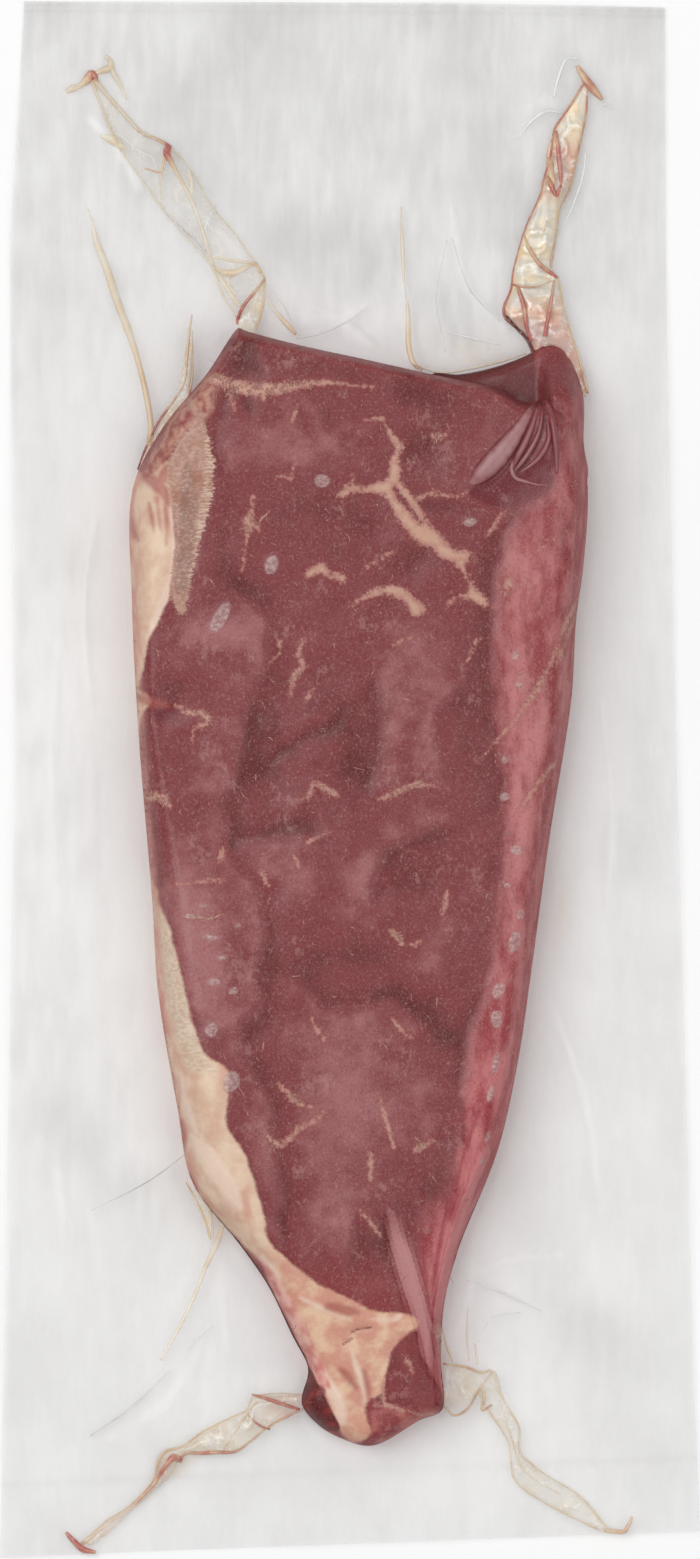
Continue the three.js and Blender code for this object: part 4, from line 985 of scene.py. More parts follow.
def meat_fields(x, y):
    """Fields over the meat, which its relief and its colours share."""
    ragged = lump_layers(x, y, [(0.12, 1.5, 11), (0.3, 3.1, 12)])
    gristle = np.maximum(depth_in_area(CARTILAGE, x, y), depth_in_lines([CARTILAGE_TIP], x, y))
    left_half = smoothstep(0, -10, x)
    return {
        **fat_fields(x, y, ragged),
        "cartilage": gristle + 0.7 * ragged,
        "fringe": depth_in_lines([CARTILAGE_FRINGE], x, y),
        "core": depth_in_lines([CARTILAGE_CORE], x, y),
        "red": depth_in_lines(RED_FINGERS, x, y) + 0.8 * ragged,
        "strip": depth_in_area(LEFT_STRIP, x, y) + 0.5 * ragged,
        "grey": depth_in_area(GREY_FAT, x, y),
        "membrane": depth_in_area(SHOULDER_MEMBRANE, x, y) + ragged,
        # where the left rim is painted paler, as light on its steep side
        "pale_rim": left_half * smoothstep(*heights_of(660, 720), y) * smoothstep(*heights_of(960, 880), y),
        "pale": depth_in_lines(PALE_STREAKS, x, y) + ragged,
        "pit": np.maximum(depth_in_area(FOLD_PIT, x, y), depth_in_area(CAVITY, x, y)),
        "crease": np.maximum(depth_in_lines(FOLD_CREASES, x, y), depth_in_lines(TAIL_CRACKS, x, y)),
        "bubble": depth_in_ellipses(BUBBLES, x, y) + 0.25 * ragged,
        "wall": smoothstep(-3.5, 3.5, depth_in_area(RIGHT_SIDE_AREA, x, y)),
        "shade": shade_at(x, y) + edge_shade(x, y),
        "raw": smoothstep(-1, 0.8, depth_in_area(TAIL_RED, x, y)),
        "band": fold_rise(TAIL_BAND, x, y),
        "ridge": fold_rise(SIDE_FOLD, x, y),
        "side": depth_in_lines(SIDE_LINES, x, y),
        "tail": smoothstep(*heights_of(1230, 1290), y),
        "low": smoothstep(*heights_of(780, 1180), y),
    }


def face_height(x, y):
    """Height of the cut face, away from its shoulders."""
    tail = 1 - smoothstep(TAIL_ENDS_Y, TAIL_STARTS_Y, y)
    swell = SWELL["height"] * np.sin(x / SWELL["x"] + 1) * np.cos(y / SWELL["y"])
    return STEAK_THICKNESS + (TAIL_THICKNESS - STEAK_THICKNESS) * tail + swell


def meat_relief(x, y, fields):
    """How far the vacuum packed surface stands off the plain face."""
    relief = lump_layers(x, y, FACE_LUMPS) + SHADE_RELIEF * fields["shade"]
    relief += sum(height * smoothstep(low, high, fields[name]) for name, low, high, height in FACE_MARKS)
    fat = FAT_RELIEF["height"] + lump_layers(x, y, [FAT_RELIEF["lumps"]])
    fat += FAT_RELIEF["pale"] * smoothstep(-0.5, 1, fields["pale"])
    gristle = CARTILAGE_RELIEF["height"] + lump_layers(x, y, [CARTILAGE_RELIEF["lumps"]])
    relief += smoothstep(-0.5, 3, fields["fat"]) * fat + smoothstep(-0.4, 0.8, fields["cartilage"]) * gristle
    return relief + BAND_RELIEF * fields["band"] + SIDE_FOLD_RELIEF * fields["ridge"]


def slab_top(x, y):
    """Height of the slab's top before its shoulders are rounded, and its fields."""
    fields = meat_fields(x, y)
    fields["flap"] = np.zeros(x.shape)
    return face_height(x, y) + meat_relief(x, y, fields), fields


def flap_top(x, y):
    """The folded flap: low and dark on its left, and risen to meet the slab's side on its right."""
    fields = meat_fields(x, y)
    fields["flap"] = smoothstep(-1.2, 0.8, depth_in_area(FLAP_DARK, x, y))
    for key in NOT_ON_FLAP:
        fields[key] = np.full(x.shape, FAR_OUTSIDE)
    right = smoothstep(*spots([(537, 0), (553, 0)])[:, 0], x)
    near = smoothstep(11, -1, slab_outline.distance(x, y))
    return FLAP_THICKNESS + FLAP_RISE * right * near + lump_layers(x, y, [(0.3, 5, 31)]), fields


def slab_surface(x, y):
    """Height of the meat's surface on the slab."""
    return shoulder_height(slab_top(x, y)[0], *slab_outline.nearest(x, y))


def fold_bed(x, y):
    """Height that the folds in the corner rest at."""
    return slab_surface(x, y) - FOLD_BED


def add_side(places, faces, rim, inward, loop):
    """Adds rings of points from the rim down and in to the base, each joined to the one before."""
    first = len(places[0])
    for share in RING_SHARES:
        ring = rim + inward * UNDERSIDE_ROUNDING * share
        places.append(np.column_stack([ring, np.full(len(ring), WELD_HEIGHT * (1 - rounded_rise(share)))]))
        following = first + np.arange(len(ring))
        faces += band_faces(loop, following)
        loop, first = following, first + len(ring)
    return loop, first


def add_base(places, faces, inner, loop, first, columns, rows):
    """Adds a flat, coarse grid inside the last ring, and the fans of triangles that join the two."""
    turns = np.cumsum([0, columns, rows, columns, rows])
    top, right, bottom, left = (np.vstack([inner, inner[:1]])[a:b + 1] for a, b in zip(turns, turns[1:]))
    base = patch(top, right, bottom[::-1], left[::-1], *(np.linspace(0, 1, n + 1) for n in (columns, rows)))
    places.append(np.column_stack([base, np.zeros(len(base))]))
    edge = border(rows + 1, columns + 1) + first
    for k, corner in enumerate(edge):
        fan = [loop[(k * BASE_STEP + j) % len(loop)] for j in range(BASE_STEP + 1)]
        faces += [(corner, a, b) for a, b in zip(fan, fan[1:])]
        faces.append((corner, fan[-1], edge[(k + 1) % len(edge)]))
    faces += [face[::-1] for face in grid_faces(rows + 1, columns + 1, first)]


def cushion(name, points, corners, spine, counts, top, material):
    """A cushion of meat in an outline: a fine grid above, rounded below and coarse where it lies."""
    columns, rows = counts
    outline = Outline(points)
    upper, right, lower, left = outline.sides(corners)
    u, v = crowded(columns, 0.035), crowded(rows, 0.014)
    face = patch(respace(upper, u), respace(right, v), respace(lower[::-1], u), respace(left[::-1], v), u, v)
    x, y = face.T
    edge = border(rows + 1, columns + 1)
    depth, shoulder = outline.nearest(x, y)
    depth[edge] = 0
    heights, fields = top(x, y)
    fields["inset"] = depth
    places = [np.column_stack([face, shoulder_height(heights, depth, shoulder)])]
    faces = grid_faces(rows + 1, columns + 1)
    rim = face[edge]
    inward = nearest_on(spine, *rim.T) - rim
    inward /= np.linalg.norm(inward, axis=1)[:, None]
    loop, first = add_side(places, faces, rim, inward, edge)
    inner = (rim + inward * (UNDERSIDE_ROUNDING + BASE_INSET))[::BASE_STEP]
    add_base(places, faces, inner, loop, first, columns // BASE_STEP, rows // BASE_STEP)
    places = np.vstack(places)
    below = places[len(face):, :2]
    under = meat_fields(*below.T)
    for key in fields:
        filler = np.full(len(below), float(NOT_BELOW[key])) if key in NOT_BELOW else under[key]
        fields[key] = np.concatenate([fields[key], filler])
    return make_object(name, places, faces, fields, material, "steak")


def scattered_flecks():
    """Short slanted strokes of fat, spread by a seeded draw over the box of the slab."""
    low, high = np.min(SLAB_OUTLINE, axis=0), np.max(SLAB_OUTLINE, axis=0)
    strokes = []
    for _ in range(FLECKS["count"]):
        start = rng.uniform(low[:2], high[:2])
        angle = np.radians(rng.normal(FLECKS["lean"], FLECKS["spread"]))
        length = rng.uniform(*FLECKS["length"]) * rng.uniform(0.4, 1)
        width = rng.uniform(*FLECKS["half_width"])
        way = length * np.array([np.cos(angle), np.sin(angle)])
        middle = start + rng.normal(0, 0.2, 2) * length + 0.5 * way
        strokes.append(np.array([(*start, 0.05), (*middle, width), (*(start + way), 0.03)]))
    return strokes


def vein_barbs():
    """Short barbs that leave the wider veins at a slant, drawn with a seed."""
    draw = np.random.default_rng(BARB_SEED)
    strokes = []
    for line in VEINS:
        path = smooth_line(spots(line), 10)
        for here, there in zip(path[:-1:BARB_EVERY], path[1::BARB_EVERY]):
            if here[2] < WIDE_VEIN:
                continue
            angle = np.arctan2(*(there - here)[1::-1]) + draw.choice([-1, 1]) * draw.uniform(0.7, 1.6)
            reach = here[2] + draw.uniform(0.4, 1.9) * draw.uniform(0.5, 1)
            tip = here[:2] + reach * np.array([np.cos(angle), np.sin(angle)])
            strokes.append(np.array([(*here[:2], 0.45 * here[2]), (*tip, 0.04)]))
    return strokes


def marbling_lines():
    """Thin veins, barbs and flecks that lie well inside the lean, each with a rise and how pale it is."""
    thin = [line for line in VEINS if max(point[2] for point in line) < WIDE_VEIN]
    strokes = [(smooth_line(spots(line), 8) * (1, 1, MARBLING_SLIMNESS), 0.7) for line in thin]
    strokes += [(stroke, 0.5) for stroke in vein_barbs()]
    strokes += [(smooth_line(stroke, 3), rng.uniform(0, 0.7)) for stroke in scattered_flecks()]
    middles = np.array([stroke[len(stroke) // 2, :2] for stroke, _ in strokes])
    fields = meat_fields(*middles.T)
    other = np.max([fields[key] for key in ("fat", "cartilage", "dark", "pit")], axis=0)
    kept = (slab_outline.distance(*middles.T) < -0.8) & (other < -0.3) & (fields["vein"] < 0.15)
    return [(stroke, MARBLING_RISE, (tone, tone, tone)) for (stroke, tone), keep in zip(strokes, kept) if keep]


# Bag


def margin_height(x, y, distance):
    """Height of the film beside the steak: steep where it leaves the meat, low and rippled further out."""
    distance = np.maximum(distance, 0)
    ripple = (1 + np.sin(x / 17 + y / 29) * np.cos(y / 23 - x / 41)) / 2
    rest = MARGIN_REST + 1.6 * ripple
    return WELD_HEIGHT + (rest - WELD_HEIGHT) * (1 - np.exp(-distance / DRAPE_REACH)) + np.exp(-distance / 0.7)


def seal_field(x, y):
    """Where the bag is welded: two lines and a flat band at its top, and one faint line near its foot."""
    top = np.interp(x, *np.array(BAG_EDGE_TOP).T) - y
    low = y - np.interp(x, *np.array(BAG_EDGE_BOTTOM).T)
    seal = sum(smoothstep(half + 0.3, half - 0.1, np.abs(top - gap)) for gap, half in SEAL_LINES)
    seal += 0.5 * smoothstep(LOWER_SEAL["half_width"], 0.2, np.abs(low - LOWER_SEAL["gap"]))
    return seal + 0.35 * smoothstep(9, 0, top)


def film_relief(x, y, distance):
    """Fine forms of the margin, and the fields that colour it; the bands of painted shade and the stains fade in
    steps of a mm.
    """
    # fold: the bands of painted shade, which lie in the colour only
    fold = np.zeros(x.shape)
    for line in FILM_SHADE_BANDS:
        gap = np.trunc(gap_to_line(smooth_line(spots(line), 5), x, y, 16.0))
        fold = np.maximum(fold, np.exp(-(gap / FILM_SHADE_WIDTH) ** 2))
    stain = 0.2 * smoothstep(1.6, 0, distance)
    for *ellipse, strength in STAINS:
        depth = np.trunc(depth_in_ellipses([ellipse], x, y, 9.0))
        stain = np.maximum(stain, strength * smoothstep(-2, 1.5, depth))
    fields = {
        "crease": smoothstep(-1.2, 0.4, depth_in_lines(FILM_CREASES, x, y, 2.5)),
        "seal": seal_field(x, y), "stain": stain, "fold": fold,
        "veil": smoothstep(*heights_of(420, 220), y),
        "beside": 0.08 + 0.92 * smoothstep(0.2, 4, distance),
    }
    wrinkle = lump_layers(x, y, [(0.22, 9, 41)]) + lump_layers(x * 1.6, y / 3, [(0.1, 3, 42)])
    relief = wrinkle * (0.4 + 0.6 * smoothstep(0, 12, distance)) + 0.2 * fields["crease"] + 0.06 * fields["seal"]
    return relief, fields


def film_ground(x, y):
    """Height of the film's own folds: on the margin, or on the juice that lifts it."""
    height = margin_height(x, y, silhouette.distance(x, y))
    for form in CHANNELS.values():
        inside = np.clip(depth_in_area(form["left"] + form["right"][::-1], x, y) / 2, 0, 1)
        height = height + 0.75 * form["rise"] * np.sqrt(inside)
    return height


def film_sheet(name, counts, drop, material):
    """One layer of the margin, out to the bag's edge and just into the steak's side."""
    columns, rows = counts
    u, v = np.linspace(0, 1, columns + 1), np.linspace(0, 1, rows + 1)
    sides = [np.array(side) for side in (BAG_EDGE_TOP, BAG_EDGE_RIGHT, BAG_EDGE_BOTTOM, BAG_EDGE_LEFT)]
    places = patch(*(respace(side, share) for side, share in zip(sides, (u, v, u, v))), u, v)
    x, y = places.T
    distance = silhouette.distance(x, y)
    relief, fields = film_relief(x, y, distance)
    height = margin_height(x, y, distance)
    if drop:
        height = np.minimum(height, WELD_HEIGHT) * smoothstep(-3.5, 0, distance)
        relief = relief * smoothstep(0, 3, distance) - drop
    z = np.maximum(height + relief, 0.05)
    kept = distance > -WELL_INSIDE
    number = np.cumsum(kept) - 1
    faces = [number[face].tolist() for face in grid_faces(rows + 1, columns + 1) if kept[face].all()]
    fields = {key: values[kept] for key, values in fields.items()}
    return make_object(name, np.column_stack([x, y, z])[kept], faces, fields, material, "bag")


def channel(name, form, material):
    """A closed, pleated pocket of juice between two edges."""
    across, steps = CHANNEL_GRID
    s, t = np.linspace(0, 1, steps), np.linspace(-1, 1, across)
    one, two = (respace(smooth_line(spots(form[side]), 10), s) for side in ("left", "right"))
    share = (t[:, None] + 1) / 2
    x, y = (one[:, None] * (1 - share) + two[:, None] * share).reshape(-1, 2).T
    width = np.hypot(*(two - one).T)[:, None] / 2
    seed = sum(map(ord, name))
    pleat = np.clip(1 - np.abs(lumps(x, y, 3.4, seed)) * 1.6, 0, 1).reshape(steps, across)
    fold = np.clip(1 - np.abs(lumps(x * 1.5, y * 1.5, 7, seed + 1)) * 1.8, 0, 1).reshape(steps, across)
    round_across = np.sqrt(1 - t**2)[None, :]
    round_along = np.sqrt(np.sin(np.pi * (s * 0.96 + 0.02)))[:, None] ** 0.5
    height = form["rise"] * np.sqrt(width / width.max()) * round_across * round_along
    height *= 0.55 + 0.25 * pleat**2 + 0.3 * fold**2
    ground = margin_height(x, y, silhouette.distance(x, y))
    upper = np.column_stack([x, y, ground + 0.15 + height.ravel()])
    lower = np.column_stack([x, y, ground - 0.2 * np.tile(round_across.ravel(), steps)])
    faces = grid_faces(steps, across) + [face[::-1] for face in grid_faces(steps, across, len(x))]
    rim = border(steps, across)
    faces += band_faces(rim, rim + len(x))
    tint = np.interp(s, np.linspace(0, 1, len(form["redness"])), form["redness"])[:, None]
    over = {
        "crease": np.maximum(pleat**5, fold**6),
        "edge": (1 - np.abs(t)) * np.maximum(width, 0.4),
        "redness": np.repeat(tint, across, axis=1),
    }
    fields = {key: np.tile(values.ravel(), 2) for key, values in over.items()}
    fields["upper"] = np.repeat([1.0, 0.0], len(x))
    fields["body"] = np.full(2 * len(x), form["body"])
    return make_object(name, np.vstack([upper, lower]), faces, fields, material, "bag")


# Colours as the picture shows them, from 0 to 255; some are painted light and painted shade, as said where they are
# used

SHEEN = 0.02
LIGHT_LEVEL = 1.05
COLOURS = {
    "deep lean": (98, 34, 40), "lean": (131, 62, 65), "pale lean": (168, 108, 109), "tail lean": (144, 58, 60),
    "wall": (156, 66, 70), "pale lit wall": (208, 132, 132), "low wall": (164, 64, 70), "pale low lit wall": (212, 126, 128),
    "wall shade": (118, 48, 54), "rim": (170, 86, 84), "painted lit rim": (206, 146, 136),
    "pale grain": (184, 136, 134), "dark grain": (98, 36, 42), "speck": (180, 134, 130), "pale speckle": (206, 170, 168),
    "ridge": (206, 132, 134), "band": (176, 112, 114), "band crest highlight": (206, 150, 150), "side line": (150, 56, 68),
    "tail muscle": (108, 38, 44), "pale tail muscle": (146, 68, 70), "pit": (108, 40, 48), "crease": (84, 30, 34),
    "raw": (138, 54, 60), "pale raw": (190, 116, 108), "flap": (86, 44, 48), "pale flap": (122, 66, 66),
    "skin": (158, 90, 84), "pale skin": (208, 158, 136), "strip": (212, 134, 126), "pale strip": (238, 186, 172),
    "vein edge": (142, 62, 60), "thin vein": (182, 130, 120), "vein": (210, 168, 144), "pink vein": (186, 126, 112),
    "pale vein": (222, 186, 164), "fat": (234, 206, 180), "warm fat": (216, 176, 152), "pink fat": (208, 142, 128),
    "tail fat": (230, 192, 160), "pink tail fat": (210, 146, 126), "grey fat": (206, 180, 158),
    "pale grey fat": (226, 208, 186), "fine fat": (238, 214, 194), "fat streak": (240, 214, 196),
    "fat rim": (214, 142, 130), "blood": (136, 56, 58), "thin blood": (192, 112, 100),
    "wedge": (92, 26, 34), "pale wedge": (140, 56, 54), "gristle": (172, 130, 114), "pale gristle": (202, 162, 144),
    "brown gristle": (160, 104, 84), "gristle core": (138, 110, 100), "fringe": (222, 196, 176),
    "bubble": (160, 124, 122), "pale bubble": (216, 194, 190), "thin marbling": (168, 112, 108),
    "marbling": (204, 156, 142), "pale marbling": (216, 178, 166), "fold side": (132, 62, 68),
    "lit fold crest": (158, 108, 112), "pale lit fold crest": (184, 144, 144), "fold speck": (150, 96, 98),
    "film": (222, 221, 219), "grey film": (208, 206, 204), "film highlight": (252, 252, 251), "stain": (222, 196, 150),
    "clear juice": (255, 247, 228), "yellow juice": (248, 222, 174), "pink juice": (222, 148, 130),
    "red juice": (156, 68, 62), "painted_glint": (255, 255, 252), "juice rim": (230, 196, 146),
    "pale seam": (246, 234, 206), "seam": (230, 200, 156), "pink seam": (190, 106, 98), "dark seam": (104, 42, 46),
    "seam speck": (240, 216, 190), "white crease": (252, 252, 252), "grey crease": (168, 162, 162),
}


def seen(name):
    """The base colour that shows as the named one in this light, under a faint sheen."""
    linear = [c / 255 / 12.92 if c <= 10 else ((c / 255 + 0.055) / 1.055) ** 2.4 for c in COLOURS[name]]
    return [max(c - SHEEN, 0.001) / LIGHT_LEVEL for c in linear] + [1]


# Materials


class Shader:
    """A material's nodes, made by short calls that take and return sockets, plain values or names.

    A name stands for a field of the mesh where a number is meant, and for a colour where a colour is.
    """

    def __init__(self, name):
        self.material = bpy.data.materials.new(name)
        self.material.use_nodes = True
        self.nodes = self.material.node_tree.nodes
        self.surface = self.nodes["Principled BSDF"].inputs
        self.places = self.nodes.new("ShaderNodeTexCoord").outputs["Object"]

    def join(self, value, socket):
        """Links a socket, or the field of a name, into a socket, or sets its value."""
        if isinstance(value, str):
            value = self.field(value)
        if isinstance(value, bpy.types.NodeSocket):
            self.material.node_tree.links.new(value, socket)
        else:
            socket.default_value = value

    def set(self, **values):
        """Joins values to sockets of the surface, whose names are written with underscores."""
        for name, value in values.items():
            self.join(value, self.surface[name.replace("_", " ")])

    def field(self, name):
        node = self.nodes.new("ShaderNodeAttribute")
        node.attribute_name = name
        return node.outputs["Fac"]

    def math(self, operation, *values):
        node = self.nodes.new("ShaderNodeMath")
        node.operation = operation
        for value, socket in zip(values, node.inputs):
            self.join(value, socket)
        return node.outputs[0]

    def times(self, *values):
        return self.math("MULTIPLY", *values)

    def add(self, first, *others):
        for other in others:
            first = self.math("ADD", first, other)
        return first

    def spread(self, noise, amount):
        """Noise moved to lie about zero, times an amount."""
        return self.times(self.math("SUBTRACT", noise, 0.5), amount)

    def noise(self, size, detail=2.0, stretch=(1, 1, 1), roughness=0.5):
        """Noise from 0 to 1 with lumps about `size` mm across."""
        mapping = self.nodes.new("ShaderNodeMapping")
        self.join(self.places, mapping.inputs["Vector"])
        mapping.inputs["Scale"].default_value = [1 / (MM * size * s) for s in stretch]
        node = self.nodes.new("ShaderNodeTexNoise")
        self.join(mapping.outputs[0], node.inputs["Vector"])
        node.inputs["Scale"].default_value = 1
        node.inputs["Detail"].default_value = detail
        node.inputs["Roughness"].default_value = roughness
        return node.outputs["Fac"]

    def ramp(self, value, low, high, to_low=0.0, to_high=1.0):
        """A smooth step of a value between two levels."""
        node = self.nodes.new("ShaderNodeMapRange")
        node.interpolation_type = "SMOOTHSTEP"
        for given, socket in zip((value, low, high, to_low, to_high), node.inputs):
            self.join(given, socket)
        return node.outputs[0]

    def mix(self, share, first, second):
        """One colour going over into another as the share goes from 0 to 1."""
        node = self.nodes.new("ShaderNodeMix")
        node.data_type = "RGBA"
        self.join(share, node.inputs[0])
        for colour, socket in ((first, node.inputs[6]), (second, node.inputs[7])):
            self.join(seen(colour) if isinstance(colour, str) else colour, socket)
        return node.outputs[2]

    def lay(self, under, over, value, low, high, most=1.0):
        """A colour laid over another, more and more as a value goes from low to high."""
        return self.mix(self.ramp(value, low, high, 0, most), under, over)

    def bump(self, height, depth):
        """A normal for relief of the given depth in mm."""
        node = self.nodes.new("ShaderNodeBump")
        node.inputs["Distance"].default_value = depth * MM
        self.join(height, node.inputs["Height"])
        return node.outputs[0]


def painted_lit_side_colour(s, shade):
    """The right side of the meat, where the face slopes down: painted paler as light on the slope, in runs along it.
    """
    runs = s.noise(4.5, 4, (1, 2.6, 1), 0.6)
    upper = s.lay("wall", "pale lit wall", runs, 0.36, 0.64)
    lower = s.lay("low wall", "pale low lit wall", runs, 0.34, 0.66)
    return s.lay(s.mix("low", upper, lower), "wall shade", shade, 0, -1.2, 0.55)


def lean_colour(s, blotch, broad):
    """Lean of the face and the sides, with its grain, its rims painted lighter, and the dark and pale places of the
    tail.
    """
    grain = s.noise(0.55, 4, (1, 1.3, 1), 0.7)
    shade = s.add("shade", s.spread(blotch, 1.3), s.spread(broad, 1.4))
    lean = s.lay("deep lean", "lean", shade, -1.4, 0.0)
    lean = s.lay(lean, "pale lean", shade, 0.0, 1.1)
    lean = s.mix(s.times("tail", 0.5), lean, "tail lean")
    # the right side painted paler, as light on its slope
    lean = s.mix(s.times("wall", s.ramp("low", 0, 1, 0.7, 0.88)), lean, painted_lit_side_colour(s, shade))
    # Painted light on the rounded sides: lighter and redder near the outline (partly the meat's own redder edge),
    # paler still on the left
    rim = s.times(s.ramp("inset", 3.2, 0.0), s.ramp(blotch, 0.3, 0.65, 0.0, 0.6))
    lean = s.mix(rim, lean, "rim")
    pale_rim = s.times("pale_rim", s.ramp("inset", 2.4, 0.4))
    lean = s.mix(s.times(pale_rim, s.ramp(blotch, 0.3, 0.6, 0.4, 0.9)), lean, "painted lit rim")
    lean = s.lay(lean, "pale grain", grain, 0.52, 0.8, 0.8)
    lean = s.lay(lean, "dark grain", grain, 0.48, 0.25, 0.6)
    # Painted highlights: the ridge of the side fold and the raised band painted paler, the band's crest paler still
    lean = s.mix(s.times("ridge", 0.6), lean, "ridge")
    lean = s.mix(s.times("band", 0.8), lean, "band")
    lean = s.lay(lean, "band crest highlight", "band", 0.5, 1, 0.55)
    lean = s.lay(lean, s.mix(blotch, "tail muscle", "pale tail muscle"), "dark", -0.3, 0.3)
    # The pits painted dark red: painted shade in the hollows
    lean = s.lay(lean, "pit", "pit", -1.2, 1.2, 0.85)
    lean = s.mix(s.times("raw", 0.75), lean, s.lay("raw", "pale raw", blotch, 0.35, 0.65))
    lean = s.lay(lean, "side line", "side", -0.4, 0.2, 0.5)
    specks = s.times(s.noise(1.3, 4, (1, 1.6, 1), 0.7), s.noise(8, 2))
    lean = s.lay(lean, "speck", specks, 0.33, 0.4, 0.35)
    return s.lay(lean, s.mix(broad, "flap", "pale flap"), "flap", 0, 1, 0.85)


def veins_over(s, lean, fine, fuzz):
    """The membrane at the shoulder and the veins of fat, laid over the lean with frayed edges."""
    skin = s.lay("skin", "pale skin", s.noise(2.4, 4), 0.35, 0.65)
    lean = s.lay(lean, skin, s.add("membrane", s.times(fuzz, 4.0)), -1.0, 1.2, 0.75)
    vein = s.add("vein", s.times(fuzz, 3.4))
    colour = s.lay("thin vein", "vein", vein, 0.1, 1.5)
    colour = s.lay(colour, "pink vein", s.noise(1.8, 4), 0.5, 0.7, 0.6)
    colour = s.lay(colour, "pale vein", fine, 0.5, 0.7, 0.4)
    lean = s.lay(lean, "vein edge", vein, -1.1, 0.1, 0.3)
    return s.lay(lean, colour, vein, -0.3, 0.45, 0.88)


def fat_colour(s, blotch, fine):
    """Cream fat: tan at the tail, grey and threaded along the left side, pink at its rim."""
    fat = s.lay("fat", "warm fat", blotch, 0.3, 0.7)
    fat = s.lay(fat, "pink fat", s.noise(6, 3, (1, 2.5, 1)), 0.5, 0.72, 0.5)
    fat = s.mix(s.times("tail", 0.85), fat, s.lay("tail fat", "pink tail fat", blotch, 0.3, 0.6))
    grey = s.lay("grey fat", "pale grey fat", s.noise(0.8, 3, (6, 0.8, 1)), 0.35, 0.65)
    fat = s.lay(fat, grey, "grey", -0.6, 1.0, 0.8)
    fat = s.lay(fat, "fine fat", fine, 0.5, 0.75, 0.25)
    fat = s.lay(fat, "fat streak", "pale", -0.6, 0.9, 0.75)
    rim = s.times(s.ramp("inset", 2.6, 0.3), s.ramp(s.noise(9, 2), 0.42, 0.62, 0.1, 0.75))
    return s.mix(rim, fat, "fat rim")


def fat_over(s, colour, blotch, fine, fuzz):
    """Fat laid over the lean, with the blood on it and the strip and the dark wedge at its left edge."""
    colour = s.lay(colour, fat_colour(s, blotch, fine), s.add("fat", s.times(fuzz, 1.0)), -0.55, 0.45)
    colour = s.lay(colour, s.mix(blotch, "blood", "thin blood"), "red", -0.6, 0.9, 0.75)
    colour = s.lay(colour, s.lay("strip", "pale strip", s.noise(3.2, 3), 0.35, 0.65), "strip", -0.6, 0.4, 0.92)
    return s.lay(colour, s.lay("wedge", "pale wedge", s.noise(3, 3), 0.45, 0.7), "wedge", -0.2, 0.3, 0.9)


def gristle_over(s, colour, blotch, mottle, fuzz):
    """Cartilage laid over the rest, with a dark core and a fringe of pale hairs."""
    hairs = s.ramp(s.noise(0.45, 2, (5, 1, 1)), 0.45, 0.6)
    gristle = s.mix(mottle, "gristle", "pale gristle")
    gristle = s.lay(gristle, "brown gristle", blotch, 0.5, 0.7, 0.6)
    core = s.times(s.ramp("core", -0.8, 0.4), s.ramp(mottle, 0.2, 0.8, 0.6, 0.1))
    gristle = s.mix(core, gristle, "gristle core")
    fringe = s.times(s.ramp("fringe", -0.6, 0.6), hairs)
    gristle = s.mix(s.times(fringe, 0.75), gristle, "fringe")
    return s.lay(colour, gristle, s.add("cartilage", s.spread(hairs, 0.5), s.times(fuzz, 1.2)), -0.3, 0.4)


def meat_material():
    """Raw beef under skin-tight film: lean, fat and cartilage told apart by the mesh's fields."""
    s = Shader("meat")
    fine, blotch, broad = s.noise(0.5, 4, roughness=0.65), s.noise(4.5, 3), s.noise(20, 3)
    fuzz = s.math("SUBTRACT", s.add(s.noise(0.9, 4, roughness=0.75), s.times(blotch, 0.3)), 0.65)
    mottle = s.ramp(s.noise(0.7, 4, (1.4, 1, 1), 0.7), 0.35, 0.7)
    colour = veins_over(s, lean_colour(s, blotch, broad), fine, fuzz)
    colour = fat_over(s, colour, blotch, fine, fuzz)
    colour = gristle_over(s, colour, blotch, mottle, fuzz)
    # Painted shade in the creases of the folded corner and the cracks of the tail
    colour = s.lay(colour, "crease", "crease", -0.5, 0, 0.75)
    # A fine pale speckle laid thinly over the whole meat
    colour = s.lay(colour, "pale speckle", s.noise(0.3, 2, (1, 1, 1), 0.8), 0.45, 0.75, 0.2)
    air = s.add("bubble", s.times(fuzz, 0.8))
    s.set(
        Base_Color=s.lay(colour, s.mix(mottle, "bubble", "pale bubble"), air, -0.2, 0.25, 0.65),
        Roughness=s.ramp(s.noise(3, 2), 0.3, 0.7, 0.45, 0.58),
        Specular_IOR_Level=0.15,
        Coat_Weight=s.ramp("inset", 0, 3.5, 0.1, 0.5),
        Coat_Roughness=0.26,
        Coat_IOR=1.45,
        Normal=s.bump(s.add(fine, s.times(mottle, 0.5)), 0.12),
        Coat_Normal=s.bump(s.noise(2.2, 2), 0.05),
    )
    return s.material


def marbling_material():
    """Fine fat in the lean: pale where it is thick, pinker and broken where it is thin."""
    s = Shader("marbling")
    breaks, fine = s.noise(1.1, 4, roughness=0.7), s.noise(0.4, 3)
    colour = s.lay("thin marbling", "marbling", s.add("strength", s.spread(breaks, 0.8)), 0.0, 0.9)
    s.set(
        Base_Color=s.lay(colour, "pale marbling", fine, 0.4, 0.7, 0.3),
        Alpha=s.ramp(breaks, 0.38, 0.6, 0.1, 0.9),
        Roughness=0.5,
        Specular_IOR_Level=0.15,
        Normal=s.bump(fine, 0.05),
    )
    return s.material


